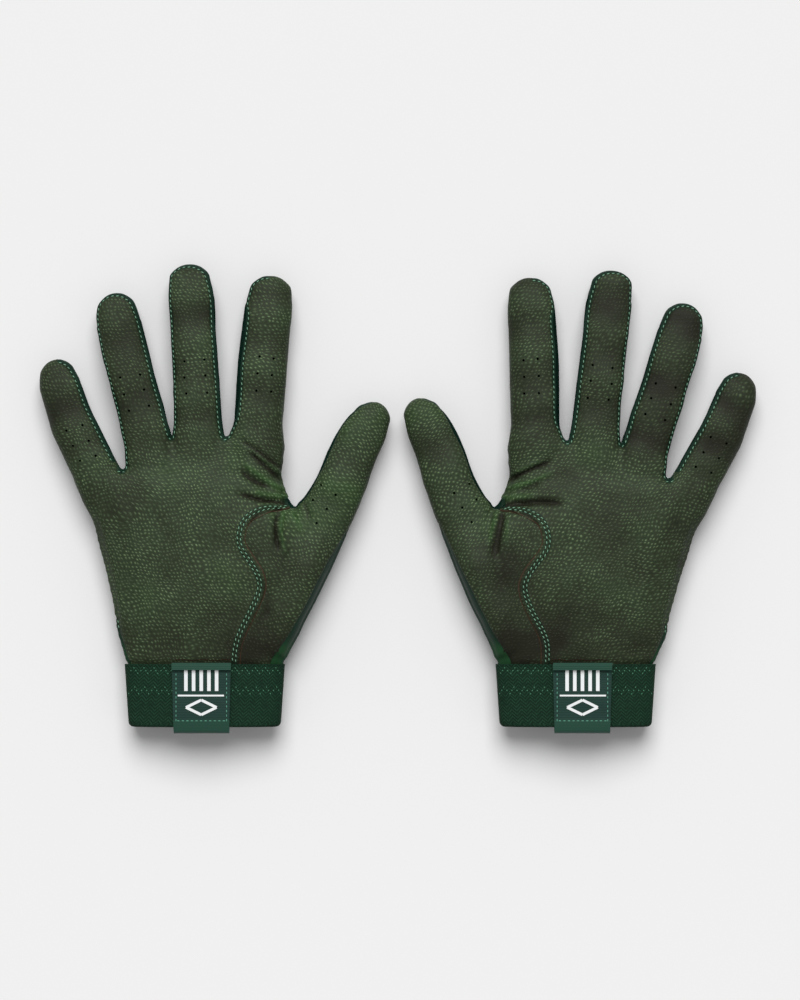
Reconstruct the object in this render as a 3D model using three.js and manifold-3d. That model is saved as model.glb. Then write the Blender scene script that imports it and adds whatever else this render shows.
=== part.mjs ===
// A pair of batting gloves, lying on their backs with the palms up and the fingers pointing along +Y.
// Lengths are in millimetres, angles in degrees. Each hand is drawn once as a right-hand glove in its
// own flat frame: u runs across it towards the thumb, v runs from the cuff's top edge towards the
// fingers, and z runs from the back of the hand (negative) to the palm (positive).
// One hollow shell is lofted for the whole hand, and the seams then cut it into its sewn panels.
import * as THREE from "three";
import Module from "manifold-3d";
import { mergeVertices } from "three/addons/utils/BufferGeometryUtils.js";

const wasm = await Module();
wasm.setup();

// Hand sizes
const palmLength = 107;
const palmWidth = 102;
const palmThickness = 27;
const fingerThickness = 16;
const thumbThickness = 17;
const thenarThickness = 25;
const fingertipDroop = 4.6;
const restingFlat = 0.5;

// Panel sizes
const leatherWall = 1.2;
const seamGap = 0.3;
const fourchetteTop = 2.6;
const fourchetteBottom = 3.6;
const fourchetteTipSetback = 9;
const knucklePanelHeight = 20;
const knuckleSeamDrop = 3.5;
const wrapStripWidth = 4;
const wrapFlare = 2;
const sideVentHeight = 25;

// Cuff and pull tab sizes
const cuffWidthShare = 0.7608;
const cuffFootWidthShare = 0.7294;
const cuffHeight = 31.5;
const cuffThickness = 18;
const cuffWall = 1.8;
const cuffCornerRadius = 4;
const handTuck = 9;
const tuckClearance = 0.4;
const slitWidth = 7;
const slitHeight = 24;
const tabWidth = 27.7;
const tabWebbing = 1.2;
const tabOverhang = 3;
const tabInnerLength = 16;
const tabClearance = 0.4;

// Closure strap sizes
const padClearance = 0.3;
const loopPadThickness = 0.9;
const loopPadStart = 5;
const loopPadLength = 23;
const padHeight = 23;
const hookPadThickness = 0.7;
const hookPadLength = 18;
const strapThickness = 1.2;
const strapHeight = 26;
const strapLength = 56;
const strapHinge = 30;
const anchorLength = 5.5;
const hingeClearance = 0.5;

// The pair lies with this gap between its two thumbs.
const thumbGap = 7.88;

// Facets
const outerFacets = 14;
const innerFacets = 8;
const cuffFacets = 22;
const foldFacets = 8;
const spineSteps = 10;
const seamSteps = 20;
const cutOverrun = 12;
const probeSize = 1;
const straightTolerance = 0.01;

// A finger's root and width are shares of the palm's width, its height and length are shares of the
// palm's length, and its bow, how far its middle bends aside, is a share of its own length. Its lean is
// towards the thumb.
const index = { acrossShare: 0.25, alongShare: 1.02, lengthShare: 0.744, widthShare: 0.2333, lean: 4.7 };
const middle = { acrossShare: -0.031, alongShare: 0.99, lengthShare: 0.8243, widthShare: 0.2216, lean: -3 };
const ring = { acrossShare: -0.258, alongShare: 0.93, lengthShare: 0.7701, widthShare: 0.2216, lean: -12.1 };
const little = { acrossShare: -0.515, alongShare: 0.868, lengthShare: 0.5458, widthShare: 0.2078, lean: -20 };
const thumb = { acrossShare: 0.551, alongShare: 0.641, lengthShare: 0.6037, widthShare: 0.2196, lean: 24.4 };
ring.bowShare = -0.0121;
little.bowShare = -0.0445;
const fingers = { index, middle, ring, little };
for (const finger of [index, middle, ring, little, thumb]) {
  finger.length = palmLength * finger.lengthShare;
  finger.width = palmWidth * finger.widthShare;
}

// How wide and how thick a finger is along its length, as shares of its own sizes.
const fingerProfileShares = [
  { at: -0.42, width: 0.8, thickness: 0.5 },
  { at: -0.2, width: 1.06, thickness: 1.0 },
  { at: -0.05, width: 1.15, thickness: 1.06 },
  { at: 0.1, width: 1.01, thickness: 1.02 },
  { at: 0.45, width: 1.02, thickness: 1.0 },
  { at: 0.8, width: 0.96, thickness: 0.92 },
];
const tipRingShares = [0.55, 0.86, 0.98];

// The thumb runs on down the edge of the palm to the wrist.
const thumbProfileShares = [
  { at: 0, width: 1.2, thickness: 1.0 },
  { at: 0.3, width: 1.02, thickness: 0.96 },
  { at: 0.75, width: 0.98, thickness: 0.88 },
];
const thenarProfileShares = [
  { at: 0.1, width: 0.98, thickness: 0.6 },
  { at: 0.35, width: 1.04, thickness: 0.92 },
  { at: 0.7, width: 1.12, thickness: 1.0 },
];

// The palm's rows, from the wrist up. A flare share of 0 is the cuff's half width and 1 the full reach.
const pinkyReachShare = 0.63;
const thenarReachShare = 0.5588;
const palmRowShares = [
  { along: 0.015, pinkyFlare: 0, thumbFlare: 0, thickness: 0.62 },
  { along: 0.13, pinkyFlare: 0.12, thumbFlare: 0.22, thickness: 0.77 },
  { along: 0.27, pinkyFlare: 0.22, thumbFlare: 0.52, thickness: 0.92 },
  { along: 0.41, pinkyFlare: 0.33, thumbFlare: 0.81, thickness: 1 },
  { along: 0.54, pinkyFlare: 0.48, thumbFlare: 1, thickness: 1 },
  { along: 0.62, pinkyFlare: 0.56, thumbFlare: 0.86, thickness: 1 },
  { along: 0.71, pinkyFlare: 0.71, thumbFlare: 0.16, thickness: 0.96 },
  { along: 0.81, pinkyFlare: 0.92, thumbFlare: -0.02, thickness: 0.86 },
  { along: 0.865, pinkyFlare: 0.97, thumbFlare: -0.1, thickness: 0.72 },
  { along: 0.88, pinkyFlare: -0.2, thumbFlare: -0.12, thickness: 0.66 },
  { along: 1.005, pinkyFlare: -0.45, thumbFlare: -0.3, thickness: 0.5 },
];

// The seam between the palm leather and the thumb leather, from the crotch of the thumb to the wrist.
const thumbSeamShares = [
  [0.325, 0.698],
  [0.25, 0.682],
  [0.202, 0.635],
  [0.2, 0.585],
  [0.238, 0.495],
  [0.284, 0.4],
  [0.286, 0.335],
  [0.257, 0.255],
  [0.213, 0.16],
  [0.16, 0.04],
  [0.14, -0.02],
];
const thumbCrotchShare = [0.41, 0.7];
const wrapLineShares = [0, 0.3, 0.6, 0.85, 0.98];
const insidePalmShare = -0.35;
const crotchSeamShare = 0.4;
const thumbDividerShare = 0.43;

// The gloves of the pair are laid down a little differently: how far each hand turns at the wrist
// towards the little finger, in degrees, how far its leather is gathered up above the cuff, and how
// far aside of the cuff's middle its pull tab is sewn.
const rightLay = { turn: 0, gather: 0, tabAside: -2 };
const leftLay = { turn: 3.1, gather: 2.4, tabAside: -3.6 };
const layEndShare = 0.35;
const droopStartShare = 0.6;
const droopPower = 1.3;

// Section shapes: 2 is an ellipse, and higher is squarer.
const rolledSquareness = 2.3;
const sewnSquareness = 3;
const palmSquareness = 2.4;
const cuffSquareness = 3;

const halfPalm = palmThickness / 2;
const midHeight = halfPalm - restingFlat;
const pinkyReach = palmWidth * pinkyReachShare;
const thenarReach = palmWidth * thenarReachShare;
const tabLength = cuffHeight + tabOverhang;
const cuffWidth = palmWidth * cuffWidthShare;
const cuffFootWidth = palmWidth * cuffFootWidthShare;
const radians = THREE.MathUtils.degToRad;

const leather = new THREE.MeshStandardMaterial({ color: 0x3c4634, roughness: 0.62, metalness: 0 });
const synthetic = new THREE.MeshStandardMaterial({ color: 0x24382b, roughness: 0.45, metalness: 0 });
const stretchKnit = new THREE.MeshStandardMaterial({ color: 0x1e3a2c, roughness: 0.85, metalness: 0 });
const elastic = new THREE.MeshStandardMaterial({ color: 0x1f3428, roughness: 0.9, metalness: 0 });
const webbing = new THREE.MeshStandardMaterial({ color: 0x2c4c3f, roughness: 0.75, metalness: 0 });
const hookTape = new THREE.MeshStandardMaterial({ color: 0x18261f, roughness: 0.7, metalness: 0 });

// Turns a closed geometry into a solid that can be joined and cut.
function toSolid(geometry) {
  const bare = new THREE.BufferGeometry().setAttribute("position", geometry.getAttribute("position"));
  if (geometry.index) bare.setIndex(geometry.index);
  const merged = mergeVertices(bare);
  return new wasm.Manifold(new wasm.Mesh({
    numProp: 3,
    vertProperties: new Float32Array(merged.attributes.position.array),
    triVerts: new Uint32Array(merged.index.array),
  }));
}

function toGeometry(solid) {
  const mesh = solid.getMesh();
  const positions = new Float32Array(mesh.numVert * 3);
  for (let i = 0; i < mesh.numVert; i++) {
    positions.set(mesh.vertProperties.subarray(i * mesh.numProp, i * mesh.numProp + 3), i * 3);
  }
  const geometry = new THREE.BufferGeometry();
  geometry.setAttribute("position", new THREE.BufferAttribute(positions, 3));
  geometry.setIndex(new THREE.BufferAttribute(new Uint32Array(mesh.triVerts), 1));
  geometry.computeVertexNormals();
  return geometry;
}

const unite = (solids) => solids.reduce((sum, solid) => sum.add(solid));
const signedPower = (value, power) => Math.sign(value) * Math.abs(value) ** power;

// Lofts a closed solid through rings. A ring has a centre, a heading in plan, half sizes across and in
// thickness, and its squareness on the pinky side and on the thumb side.
function loft(rings, facets) {
  const positions = [];
  const faces = [];
  for (const ring of rings) {
    const sideU = Math.cos(ring.heading);
    const sideV = -Math.sin(ring.heading);
    for (let k = 0; k < facets; k++) {
      const angle = (2 * Math.PI * k) / facets;
      const square = Math.cos(angle) > 0 ? ring.thumbSquare : ring.pinkySquare;
      const across = ring.halfWidth * signedPower(Math.cos(angle), 2 / square);
      const up = ring.halfThickness * signedPower(Math.sin(angle), 2 / square);
      positions.push(ring.u + across * sideU, ring.v + across * sideV, up);
    }
  }
  for (let i = 0; i + 1 < rings.length; i++) {
    for (let k = 0; k < facets; k++) {
      const here = i * facets + k;
      const next = i * facets + ((k + 1) % facets);
      faces.push(here, here + facets, next + facets, here, next + facets, next);
    }
  }
  const first = positions.length / 3;
  const last = (rings.length - 1) * facets;
  positions.push(rings[0].u, rings[0].v, 0, rings.at(-1).u, rings.at(-1).v, 0);
  for (let k = 0; k < facets; k++) {
    const next = (k + 1) % facets;
    faces.push(first, k, next, first + 1, last + next, last + k);
  }
  const geometry = new THREE.BufferGeometry();
  geometry.setAttribute("position", new THREE.Float32BufferAttribute(positions, 3));
  geometry.setIndex(faces);
  return toSolid(geometry);
}

// Leaves out the points on straight runs, so that every point of an outline is a real corner.
function corners(outline) {
  return outline.filter(([u, v], i) => {
    const [beforeU, beforeV] = outline.at(i - 1);
    const [afterU, afterV] = outline[(i + 1) % outline.length];
    return Math.abs((u - beforeU) * (afterV - v) - (v - beforeV) * (afterU - u)) > straightTolerance;
  });
}

// A plan outline drawn up into a prism between two heights.
function prism(outline, low, high) {
  const shape = new THREE.Shape(corners(outline).map(([u, v]) => new THREE.Vector2(u, v)));
  const geometry = new THREE.ExtrudeGeometry(shape, { depth: high - low, bevelEnabled: false });
  geometry.translate(0, 0, low);
  return toSolid(geometry);
}

// A thin upright wall along a line in plan: what one seam takes out of the shell.
function seamWall(line, low, high) {
  const left = [];
  const right = [];
  line.forEach(([u, v], i) => {
    const [beforeU, beforeV] = line[Math.max(i - 1, 0)];
    const [afterU, afterV] = line[Math.min(i + 1, line.length - 1)];
    const run = Math.hypot(afterU - beforeU, afterV - beforeV);
    const offsetU = ((afterV - beforeV) / run) * (seamGap / 2);
    const offsetV = (-(afterU - beforeU) / run) * (seamGap / 2);
    left.push([u - offsetU, v - offsetV]);
    right.push([u + offsetU, v + offsetV]);
  });
  return prism([...right, ...left.reverse()], low, high);
}

// A level seam at one height inside a plan outline.
const seamSlab = (outline, height) => prism(outline, height - seamGap / 2, height + seamGap / 2);

// A finger's centreline: place(share) is a point on it, and heading(share) its direction in plan.
function centreline(finger) {
  const rootU = palmWidth * finger.acrossShare;
  const rootV = palmLength * finger.alongShare;
  const bowShare = finger.bowShare ?? 0;
  const lean = radians(finger.lean);
  const place = (share) => {
    const aside = share > 0 ? finger.length * bowShare * 4 * share * (1 - share) : 0;
    return [
      rootU + Math.sin(lean) * finger.length * share + Math.cos(lean) * aside,
      rootV + Math.cos(lean) * finger.length * share - Math.sin(lean) * aside,
    ];
  };
  const heading = (share) => {
    const slope = share > 0 ? bowShare * 4 * (1 - 2 * share) : 0;
    return lean + Math.atan(slope);
  };
  return { place, heading };
}

function fingerRing(finger, line, share, widthShare, thickness, squares) {
  const [u, v] = line.place(share);
  return {
    u, v,
    heading: line.heading(share),
    halfWidth: (finger.width / 2) * widthShare,
    halfThickness: thickness / 2,
    pinkySquare: squares.pinky,
    thumbSquare: squares.thumb,
  };
}

// The rounded end of a finger, as rings that close in on a half circle of the finger's own half width.
function tipRings(finger, line, last, thickness, squares, inset) {
  const reach = (finger.width / 2) * last.width - inset;
  const start = 1 - (reach + inset) / finger.length;
  return [0, ...tipRingShares].map((share) => {
    const round = Math.sqrt(1 - share * share);
    const ring = fingerRing(finger, line, start + (share * reach) / finger.length, 1, thickness, squares);
    ring.halfWidth = reach * round;
    ring.halfThickness = ((thickness / 2) * last.thickness - inset) * round ** 0.8;
    return ring;
  });
}

function shrink(ring, inset) {
  return { ...ring, halfWidth: ring.halfWidth - inset, halfThickness: ring.halfThickness - inset };
}

function fingerForm(finger, squares, inset, facets) {
  const line = centreline(finger);
  const rings = fingerProfileShares.map((row) =>
    shrink(fingerRing(finger, line, row.at, row.width, fingerThickness * row.thickness, squares), inset));
  const last = fingerProfileShares.at(-1);
  return loft([...rings, ...tipRings(finger, line, last, fingerThickness, squares, inset).slice(1)], facets);
}

// The thumb and the ball of the thumb, in one loft from the wrist to the thumb's tip.
function thumbForm(inset, facets) {
  const squares = { pinky: rolledSquareness, thumb: rolledSquareness };
  const line = centreline(thumb);
  const [rootU, rootV] = line.place(0);
  const wristU = cuffWidth / 2 - thumb.width / 2;
  const ballRings = thenarProfileShares.map((row) => ({
    u: wristU + (rootU - wristU) * row.at,
    v: rootV * row.at,
    heading: Math.atan2(rootU - wristU, rootV),
    halfWidth: (thumb.width / 2) * row.width,
    halfThickness: (thenarThickness / 2) * row.thickness,
    pinkySquare: squares.pinky,
    thumbSquare: squares.thumb,
  }));
  const thumbRings = thumbProfileShares.map((row) =>
    fingerRing(thumb, line, row.at, row.width, thumbThickness * row.thickness, squares));
  const rings = [...ballRings, ...thumbRings].map((ring) => shrink(ring, inset));
  const last = thumbProfileShares.at(-1);
  return loft([...rings, ...tipRings(thumb, line, last, thumbThickness, squares, inset).slice(1)], facets);
}

// The palm, from inside the cuff up to the knuckles.
function palmForm(inset, facets) {
  const cuffHalf = cuffWidth / 2;
  const wristHalf = cuffHalf - cuffWall - tuckClearance;
  const wristThickness = cuffThickness / 2 - cuffWall - tuckClearance;
  const level = { heading: 0, pinkySquare: palmSquareness, thumbSquare: palmSquareness };
  const wristEnd = -handTuck - (inset > 0 ? cutOverrun : 0);
  const wristRings = [wristEnd, 0].map((v) => ({
    ...level, u: 0, v, halfWidth: wristHalf, halfThickness: wristThickness,
  }));
  const rows = palmRowShares.map((row) => {
    const pinkySide = -cuffHalf - (pinkyReach - cuffHalf) * row.pinkyFlare;
    const thumbSide = cuffHalf + (thenarReach - cuffHalf) * row.thumbFlare;
    return {
      ...level,
      u: (pinkySide + thumbSide) / 2,
      v: palmLength * row.along - (row === palmRowShares.at(-1) ? inset : 0),
      halfWidth: (thumbSide - pinkySide) / 2,
      halfThickness: halfPalm * row.thickness,
    };
  });
  return loft([...wristRings, ...rows].map((ring) => shrink(ring, inset)), facets);
}

const sewnBothSides = { pinky: sewnSquareness, thumb: sewnSquareness };
const fingerSides = {
  index: { pinky: sewnSquareness, thumb: rolledSquareness },
  middle: sewnBothSides,
  ring: sewnBothSides,
  little: { pinky: rolledSquareness, thumb: sewnSquareness },
};

function handForm(inset, facets) {
  const fingerForms = Object.entries(fingers).map(([name, finger]) =>
    fingerForm(finger, fingerSides[name], inset, facets));
  return unite([palmForm(inset, facets), thumbForm(inset, facets), ...fingerForms]);
}

// The whole hand as one hollow leather shell, open at the wrist, with a flat to rest on. Its lower
// edge is tucked into the cuff.
function handShell() {
  const reach = palmLength + palmWidth + middle.length;
  const hollow = handForm(0, outerFacets).subtract(handForm(leatherWall, innerFacets));
  const square = (top) => [[-reach, -reach], [reach, -reach], [reach, top], [-reach, top]];
  const aboveFlat = prism(square(reach), -midHeight, reach);
  const belowCuffTop = prism(square(seamGap), -reach, reach);
  const aroundCuff = belowCuffTop.subtract(cuffForm(-cuffWall - tuckClearance, cutOverrun));
  return hollow.intersect(aboveFlat).subtract(aroundCuff);
}

// Points along a finger's centreline, from inside the palm to beyond the tip.
function spine(finger, from, to) {
  const line = centreline(finger);
  return Array.from({ length: spineSteps + 1 }, (_, i) => line.place(from + ((to - from) * i) / spineSteps));
}

// A point beside a finger's centreline, in millimetres, positive towards the thumb.
function beside(finger, share, aside) {
  const line = centreline(finger);
  const [u, v] = line.place(share);
  const heading = line.heading(share);
  return [u + Math.cos(heading) * aside, v - Math.sin(heading) * aside];
}

function smoothLine(points, steps) {
  const curve = new THREE.SplineCurve(points.map(([u, v]) => new THREE.Vector2(u, v)));
  return curve.getPoints(steps).map((point) => [point.x, point.y]);
}

const palmPoint = ([acrossShare, alongShare]) => [palmWidth * acrossShare, palmLength * alongShare];
const betweenRoots = (a, b) => {
  const [rootA, rootB] = [centreline(a).place(0), centreline(b).place(0)];
  return [(rootA[0] + rootB[0]) / 2, (rootA[1] + rootB[1]) / 2];
};

// Everything that the seams take out of the shell.
function seams() {
  const top = halfPalm + cutOverrun;
  const sewnTop = fourchetteTop;
  const sewnBottom = -fourchetteBottom;
  const beyondTip = 1 + cutOverrun / middle.length;
  const insidePalm = insidePalmShare;
  const crotch = palmPoint(thumbCrotchShare);
  const farPinky = -(pinkyReach + middle.length);
  const farThumb = thenarReach + middle.length;
  const thumbSeamV = crotch[1];
  const gussetTop = crotch[1] + cutOverrun / 2;
  const dividerU = palmWidth * thumbDividerShare;
  const cuts = [];

  // Between the index and the little finger, the leather is sewn to the fourchettes near the front.
  const indexSpine = spine(index, insidePalm, beyondTip);
  const littleSpine = spine(little, insidePalm, beyondTip);
  const overTips = palmLength + middle.length + 2 * cutOverrun;
  cuts.push(seamSlab([
    ...indexSpine,
    [indexSpine.at(-1)[0], overTips],
    [littleSpine.at(-1)[0], overTips],
    ...littleSpine.reverse(),
  ], sewnTop));

  // The fourchettes' lower edges, which stop short of the fingertips.
  const pairs = [[index, middle], [middle, ring], [ring, little]];
  for (const [towardsThumb, towardsPinky] of pairs) {
    for (const [finger, side] of [[towardsThumb, -1], [towardsPinky, 1]]) {
      const stop = 1 - fourchetteTipSetback / finger.length;
      const far = side * finger.width;
      cuts.push(seamSlab([
        ...spine(finger, insidePalm, stop),
        beside(finger, stop, far),
        beside(finger, insidePalm, far),
      ], sewnBottom));
      const endLine = [beside(finger, stop, 0), beside(finger, stop, far)];
      cuts.push(seamWall(endLine, sewnBottom - seamGap / 2, sewnTop));
    }
  }

  // The leather rolls over the outer sides of the index and the little finger to the back.
  const nearTip = 1 - (index.width / 4) / index.length;
  cuts.push(seamWall(spine(index, nearTip, beyondTip), sewnBottom - seamGap / 2, sewnTop + seamGap / 2));
  cuts.push(seamWall(spine(little, nearTip, beyondTip), sewnBottom - seamGap / 2, sewnTop + seamGap / 2));
  cuts.push(seamSlab([
    ...spine(index, insidePalm / 2, beyondTip),
    [farThumb, overTips],
    [farThumb, palmLength],
    [dividerU, palmLength],
    [dividerU, gussetTop],
    [crotch[0] - cutOverrun, gussetTop],
  ], sewnBottom));
  const ventTop = sideVentHeight;
  cuts.push(seamSlab([
    ...spine(little, insidePalm / 2, beyondTip).reverse(),
    [0, ventTop],
    [farPinky, ventTop],
    [farPinky, overTips],
  ], sewnBottom));

  // Beside the cuff the leather's edge comes to the front again.
  cuts.push(seamWall([[farPinky, ventTop], [0, ventTop]], sewnBottom - seamGap / 2, sewnTop + seamGap / 2));
  const ventFoot = -2 * handTuck;
  cuts.push(seamSlab([[farPinky, ventTop], [0, ventTop], [0, ventFoot], [farPinky, ventFoot]], sewnTop));

  // The gusset between the thumb and the index finger.
  const thumbSpine = spine(thumb, 0, beyondTip);
  const gusset = [
    [crotch[0] - cutOverrun, gussetTop],
    [crotch[0] - cutOverrun, thumbSeamV - cutOverrun],
    [thumbSpine[0][0], thumbSeamV - cutOverrun],
    ...thumbSpine,
    [dividerU, thumbSpine.at(-1)[1]],
    [dividerU, gussetTop],
  ];
  cuts.push(seamSlab(gusset, sewnTop), seamSlab(gusset, sewnBottom));
  cuts.push(seamWall([[crotch[0] - cutOverrun, gussetTop], [dividerU, gussetTop]],
    sewnBottom - seamGap / 2, sewnTop + seamGap / 2));
  const thumbNearTip = 1 - (thumb.width / 4) / thumb.length;
  cuts.push(seamWall(spine(thumb, thumbNearTip, beyondTip), sewnBottom - seamGap / 2, sewnTop + seamGap / 2));

  // The palm leather is lapped over the thumb leather along a double curve.
  const seamLine = smoothLine([
    [crotch[0] + cutOverrun / 2, crotch[1] + cutOverrun / 3],
    crotch,
    ...thumbSeamShares.map(palmPoint),
  ], seamSteps);
  seamLine.push([seamLine.at(-1)[0], -handTuck - cutOverrun]);
  cuts.push(seamWall(seamLine, sewnTop - seamGap / 2, top));

  // The outer side of the thumb is rolled, and lower down the back wraps round to the front.
  const wristSideU = cuffWidth / 2 - wrapStripWidth;
  const [thumbRootU, thumbRootV] = centreline(thumb).place(0);
  const rootSideU = thumbRootU + (thumb.width / 2) * thumbProfileShares[0].width - wrapStripWidth;
  const wrapLine = wrapLineShares.map((share) =>
    [wristSideU + (rootSideU - wristSideU) * share, thumbRootV * share]);
  wrapLine.unshift([wrapLine[0][0], -handTuck - cutOverrun]);
  wrapLine.push([wrapLine.at(-1)[0] + wrapFlare, thumbSeamV]);
  cuts.push(seamWall(wrapLine, 0, top));
  cuts.push(seamWall([[wrapLine.at(-1)[0], thumbSeamV], [farThumb, thumbSeamV]], -top, top));
  const rollStart = (thumbSeamV - thumbRootV) / (Math.cos(radians(thumb.lean)) * thumb.length);
  cuts.push(seamSlab([
    ...spine(thumb, rollStart, beyondTip).reverse(),
    [farThumb, thumbSeamV],
    [farThumb, overTips],
  ], sewnBottom));

  // Seams of the back: under the thumb, above and below the stretch panel on the knuckles, and up
  // into the crotches of the fingers.
  cuts.push(seamWall([[crotch[0] - cutOverrun / 2, thumbSeamV], [farThumb, thumbSeamV]], -top, sewnBottom));
  const knuckleLine = (drop) => {
    const [lowU, lowV] = centreline(little).place(0);
    const [, highV] = centreline(index).place(0);
    return [
      [farPinky, lowV - drop - cutOverrun],
      [lowU, lowV - drop],
      ...pairs.slice().reverse().map(([a, b]) => {
        const [u, v] = betweenRoots(a, b);
        return [u, v - drop];
      }),
      [dividerU, highV - drop],
    ];
  };
  cuts.push(seamWall(knuckleLine(knuckleSeamDrop), -top, sewnBottom));
  cuts.push(seamWall(knuckleLine(knuckleSeamDrop + knucklePanelHeight), -top, sewnBottom));
  for (const [towardsThumb, towardsPinky] of pairs) {
    const [u, v] = betweenRoots(towardsThumb, towardsPinky);
    const [thumbSideU, thumbSideV] = centreline(towardsThumb).place(crotchSeamShare);
    const [pinkySideU, pinkySideV] = centreline(towardsPinky).place(crotchSeamShare);
    cuts.push(seamWall([[u, v - knuckleSeamDrop],
      [(thumbSideU + pinkySideU) / 2, (thumbSideV + pinkySideV) / 2]], -top, sewnBottom));
  }

  // The slit that lets the hand in, under the closure strap.
  cuts.push(slit());
  return unite(cuts);
}

function slit() {
  const half = slitWidth / 2;
  const foot = -cuffHeight - cutOverrun;
  const rounding = 5;
  const arch = Array.from({ length: rounding + 1 }, (_, i) => {
    const share = i / rounding;
    return [half * Math.cos(Math.PI * share), slitHeight * Math.sin(Math.PI * share) ** 0.8];
  });
  return prism([[-half, foot], [half, foot], ...arch], -palmThickness, -cuffThickness / 6);
}

// The cuff's outer form, grown by an offset, so that what lies on it follows its curve. A form that
// overruns the cuff is for cutting, and leaves out the rounding of the lower corners.
function cuffForm(offset, overrun = 0) {
  const level = { heading: 0, pinkySquare: cuffSquareness, thumbSquare: cuffSquareness, u: 0 };
  const half = cuffThickness / 2;
  const corner = cuffCornerRadius;
  const foot = { halfWidth: cuffFootWidth / 2, halfThickness: half };
  const head = { halfWidth: cuffWidth / 2, halfThickness: half };
  const footRings = overrun > 0
    ? [{ ...foot, v: -cuffHeight - overrun }]
    : [
      { v: -cuffHeight, halfWidth: foot.halfWidth - corner / 2, halfThickness: half - corner / 8 },
      { v: -cuffHeight + corner / 3, halfWidth: foot.halfWidth - corner / 8, halfThickness: half },
    ];
  const rings = [...footRings, { ...foot, v: -cuffHeight + corner }, { ...head, v: 0 }];
  if (overrun > 0) rings.push({ ...head, v: overrun });
  const grown = rings.map((ring) => ({
    ...level, ...ring, halfWidth: ring.halfWidth + offset, halfThickness: ring.halfThickness + offset,
  }));
  return loft(grown, cuffFacets);
}

// A skin on the back of the cuff between two offsets, cut to a plan outline.
function cuffSkin(outline, innerOffset, thickness) {
  const overrun = cutOverrun;
  return cuffForm(innerOffset + thickness, overrun)
    .subtract(cuffForm(innerOffset, 2 * overrun))
    .intersect(prism(outline, -palmThickness, 0));
}

function box(lowU, highU, height) {
  const middle = -cuffHeight / 2;
  return [
    [lowU, middle - height / 2],
    [highU, middle - height / 2],
    [highU, middle + height / 2],
    [lowU, middle + height / 2],
  ];
}

function cuffBand() {
  return cuffForm(0).subtract(cuffForm(-cuffWall, cutOverrun)).subtract(slit());
}

// The pull tab: one strip of webbing folded round the cuff's lower edge.
function pullTab(aside) {
  const outerFace = cuffThickness / 2 + tabClearance;
  const innerFace = cuffThickness / 2 - cuffWall - tabClearance;
  const bend = (outerFace - innerFace) / 2;
  const middle = (outerFace + innerFace) / 2;
  const turn = -tabLength + bend + tabWebbing;
  const profile = new THREE.Shape();
  profile.moveTo(0, outerFace);
  profile.lineTo(0, outerFace + tabWebbing);
  profile.lineTo(turn, outerFace + tabWebbing);
  profile.absarc(turn, middle, bend + tabWebbing, Math.PI / 2, (3 * Math.PI) / 2, false);
  profile.lineTo(-tabLength + tabInnerLength, innerFace - tabWebbing);
  profile.lineTo(-tabLength + tabInnerLength, innerFace);
  profile.lineTo(turn, innerFace);
  profile.absarc(turn, middle, bend, (3 * Math.PI) / 2, Math.PI / 2, true);
  profile.closePath();
  const strip = { depth: tabWidth, bevelEnabled: false, curveSegments: foldFacets };
  const geometry = new THREE.ExtrudeGeometry(profile, strip);
  // The profile is drawn along v and z, and the strip's width is turned to run across the cuff.
  const basis = new THREE.Matrix4().makeBasis(
    new THREE.Vector3(0, 1, 0), new THREE.Vector3(0, 0, 1), new THREE.Vector3(1, 0, 0));
  geometry.applyMatrix4(basis);
  geometry.translate(aside - tabWidth / 2, 0, 0);
  return toSolid(geometry);
}

function strapOutline() {
  const middle = -cuffHeight / 2;
  const half = strapHeight / 2;
  const roundCentre = -strapHinge + strapLength - half;
  const steps = 8;
  const end = Array.from({ length: steps + 1 }, (_, i) => {
    const angle = -Math.PI / 2 + (Math.PI * i) / steps;
    return [roundCentre + half * Math.cos(angle), middle + half * Math.sin(angle)];
  });
  return [[-strapHinge, middle - half], ...end, [-strapHinge, middle + half]];
}

const hookOffset = padClearance + loopPadThickness + padClearance;
const strapOffset = hookOffset + hookPadThickness + padClearance;

function closurePieces() {
  const endMargin = strapHeight / 4;
  const hookPadEnd = strapLength - strapHinge - endMargin;
  const loopPad = box(loopPadStart, loopPadStart + loopPadLength, padHeight);
  const hookPad = box(hookPadEnd - hookPadLength, hookPadEnd, padHeight - endMargin);
  const anchorEnd = -strapHinge - hingeClearance;
  const anchor = box(anchorEnd - anchorLength, anchorEnd, strapHeight);
  return {
    loop_pad: cuffSkin(loopPad, padClearance, loopPadThickness),
    hook_pad: cuffSkin(hookPad, hookOffset, hookPadThickness),
    closure_strap: cuffSkin(strapOutline(), strapOffset, strapThickness),
    strap_anchor: cuffSkin(anchor, padClearance, strapOffset + strapThickness - padClearance),
  };
}

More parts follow.
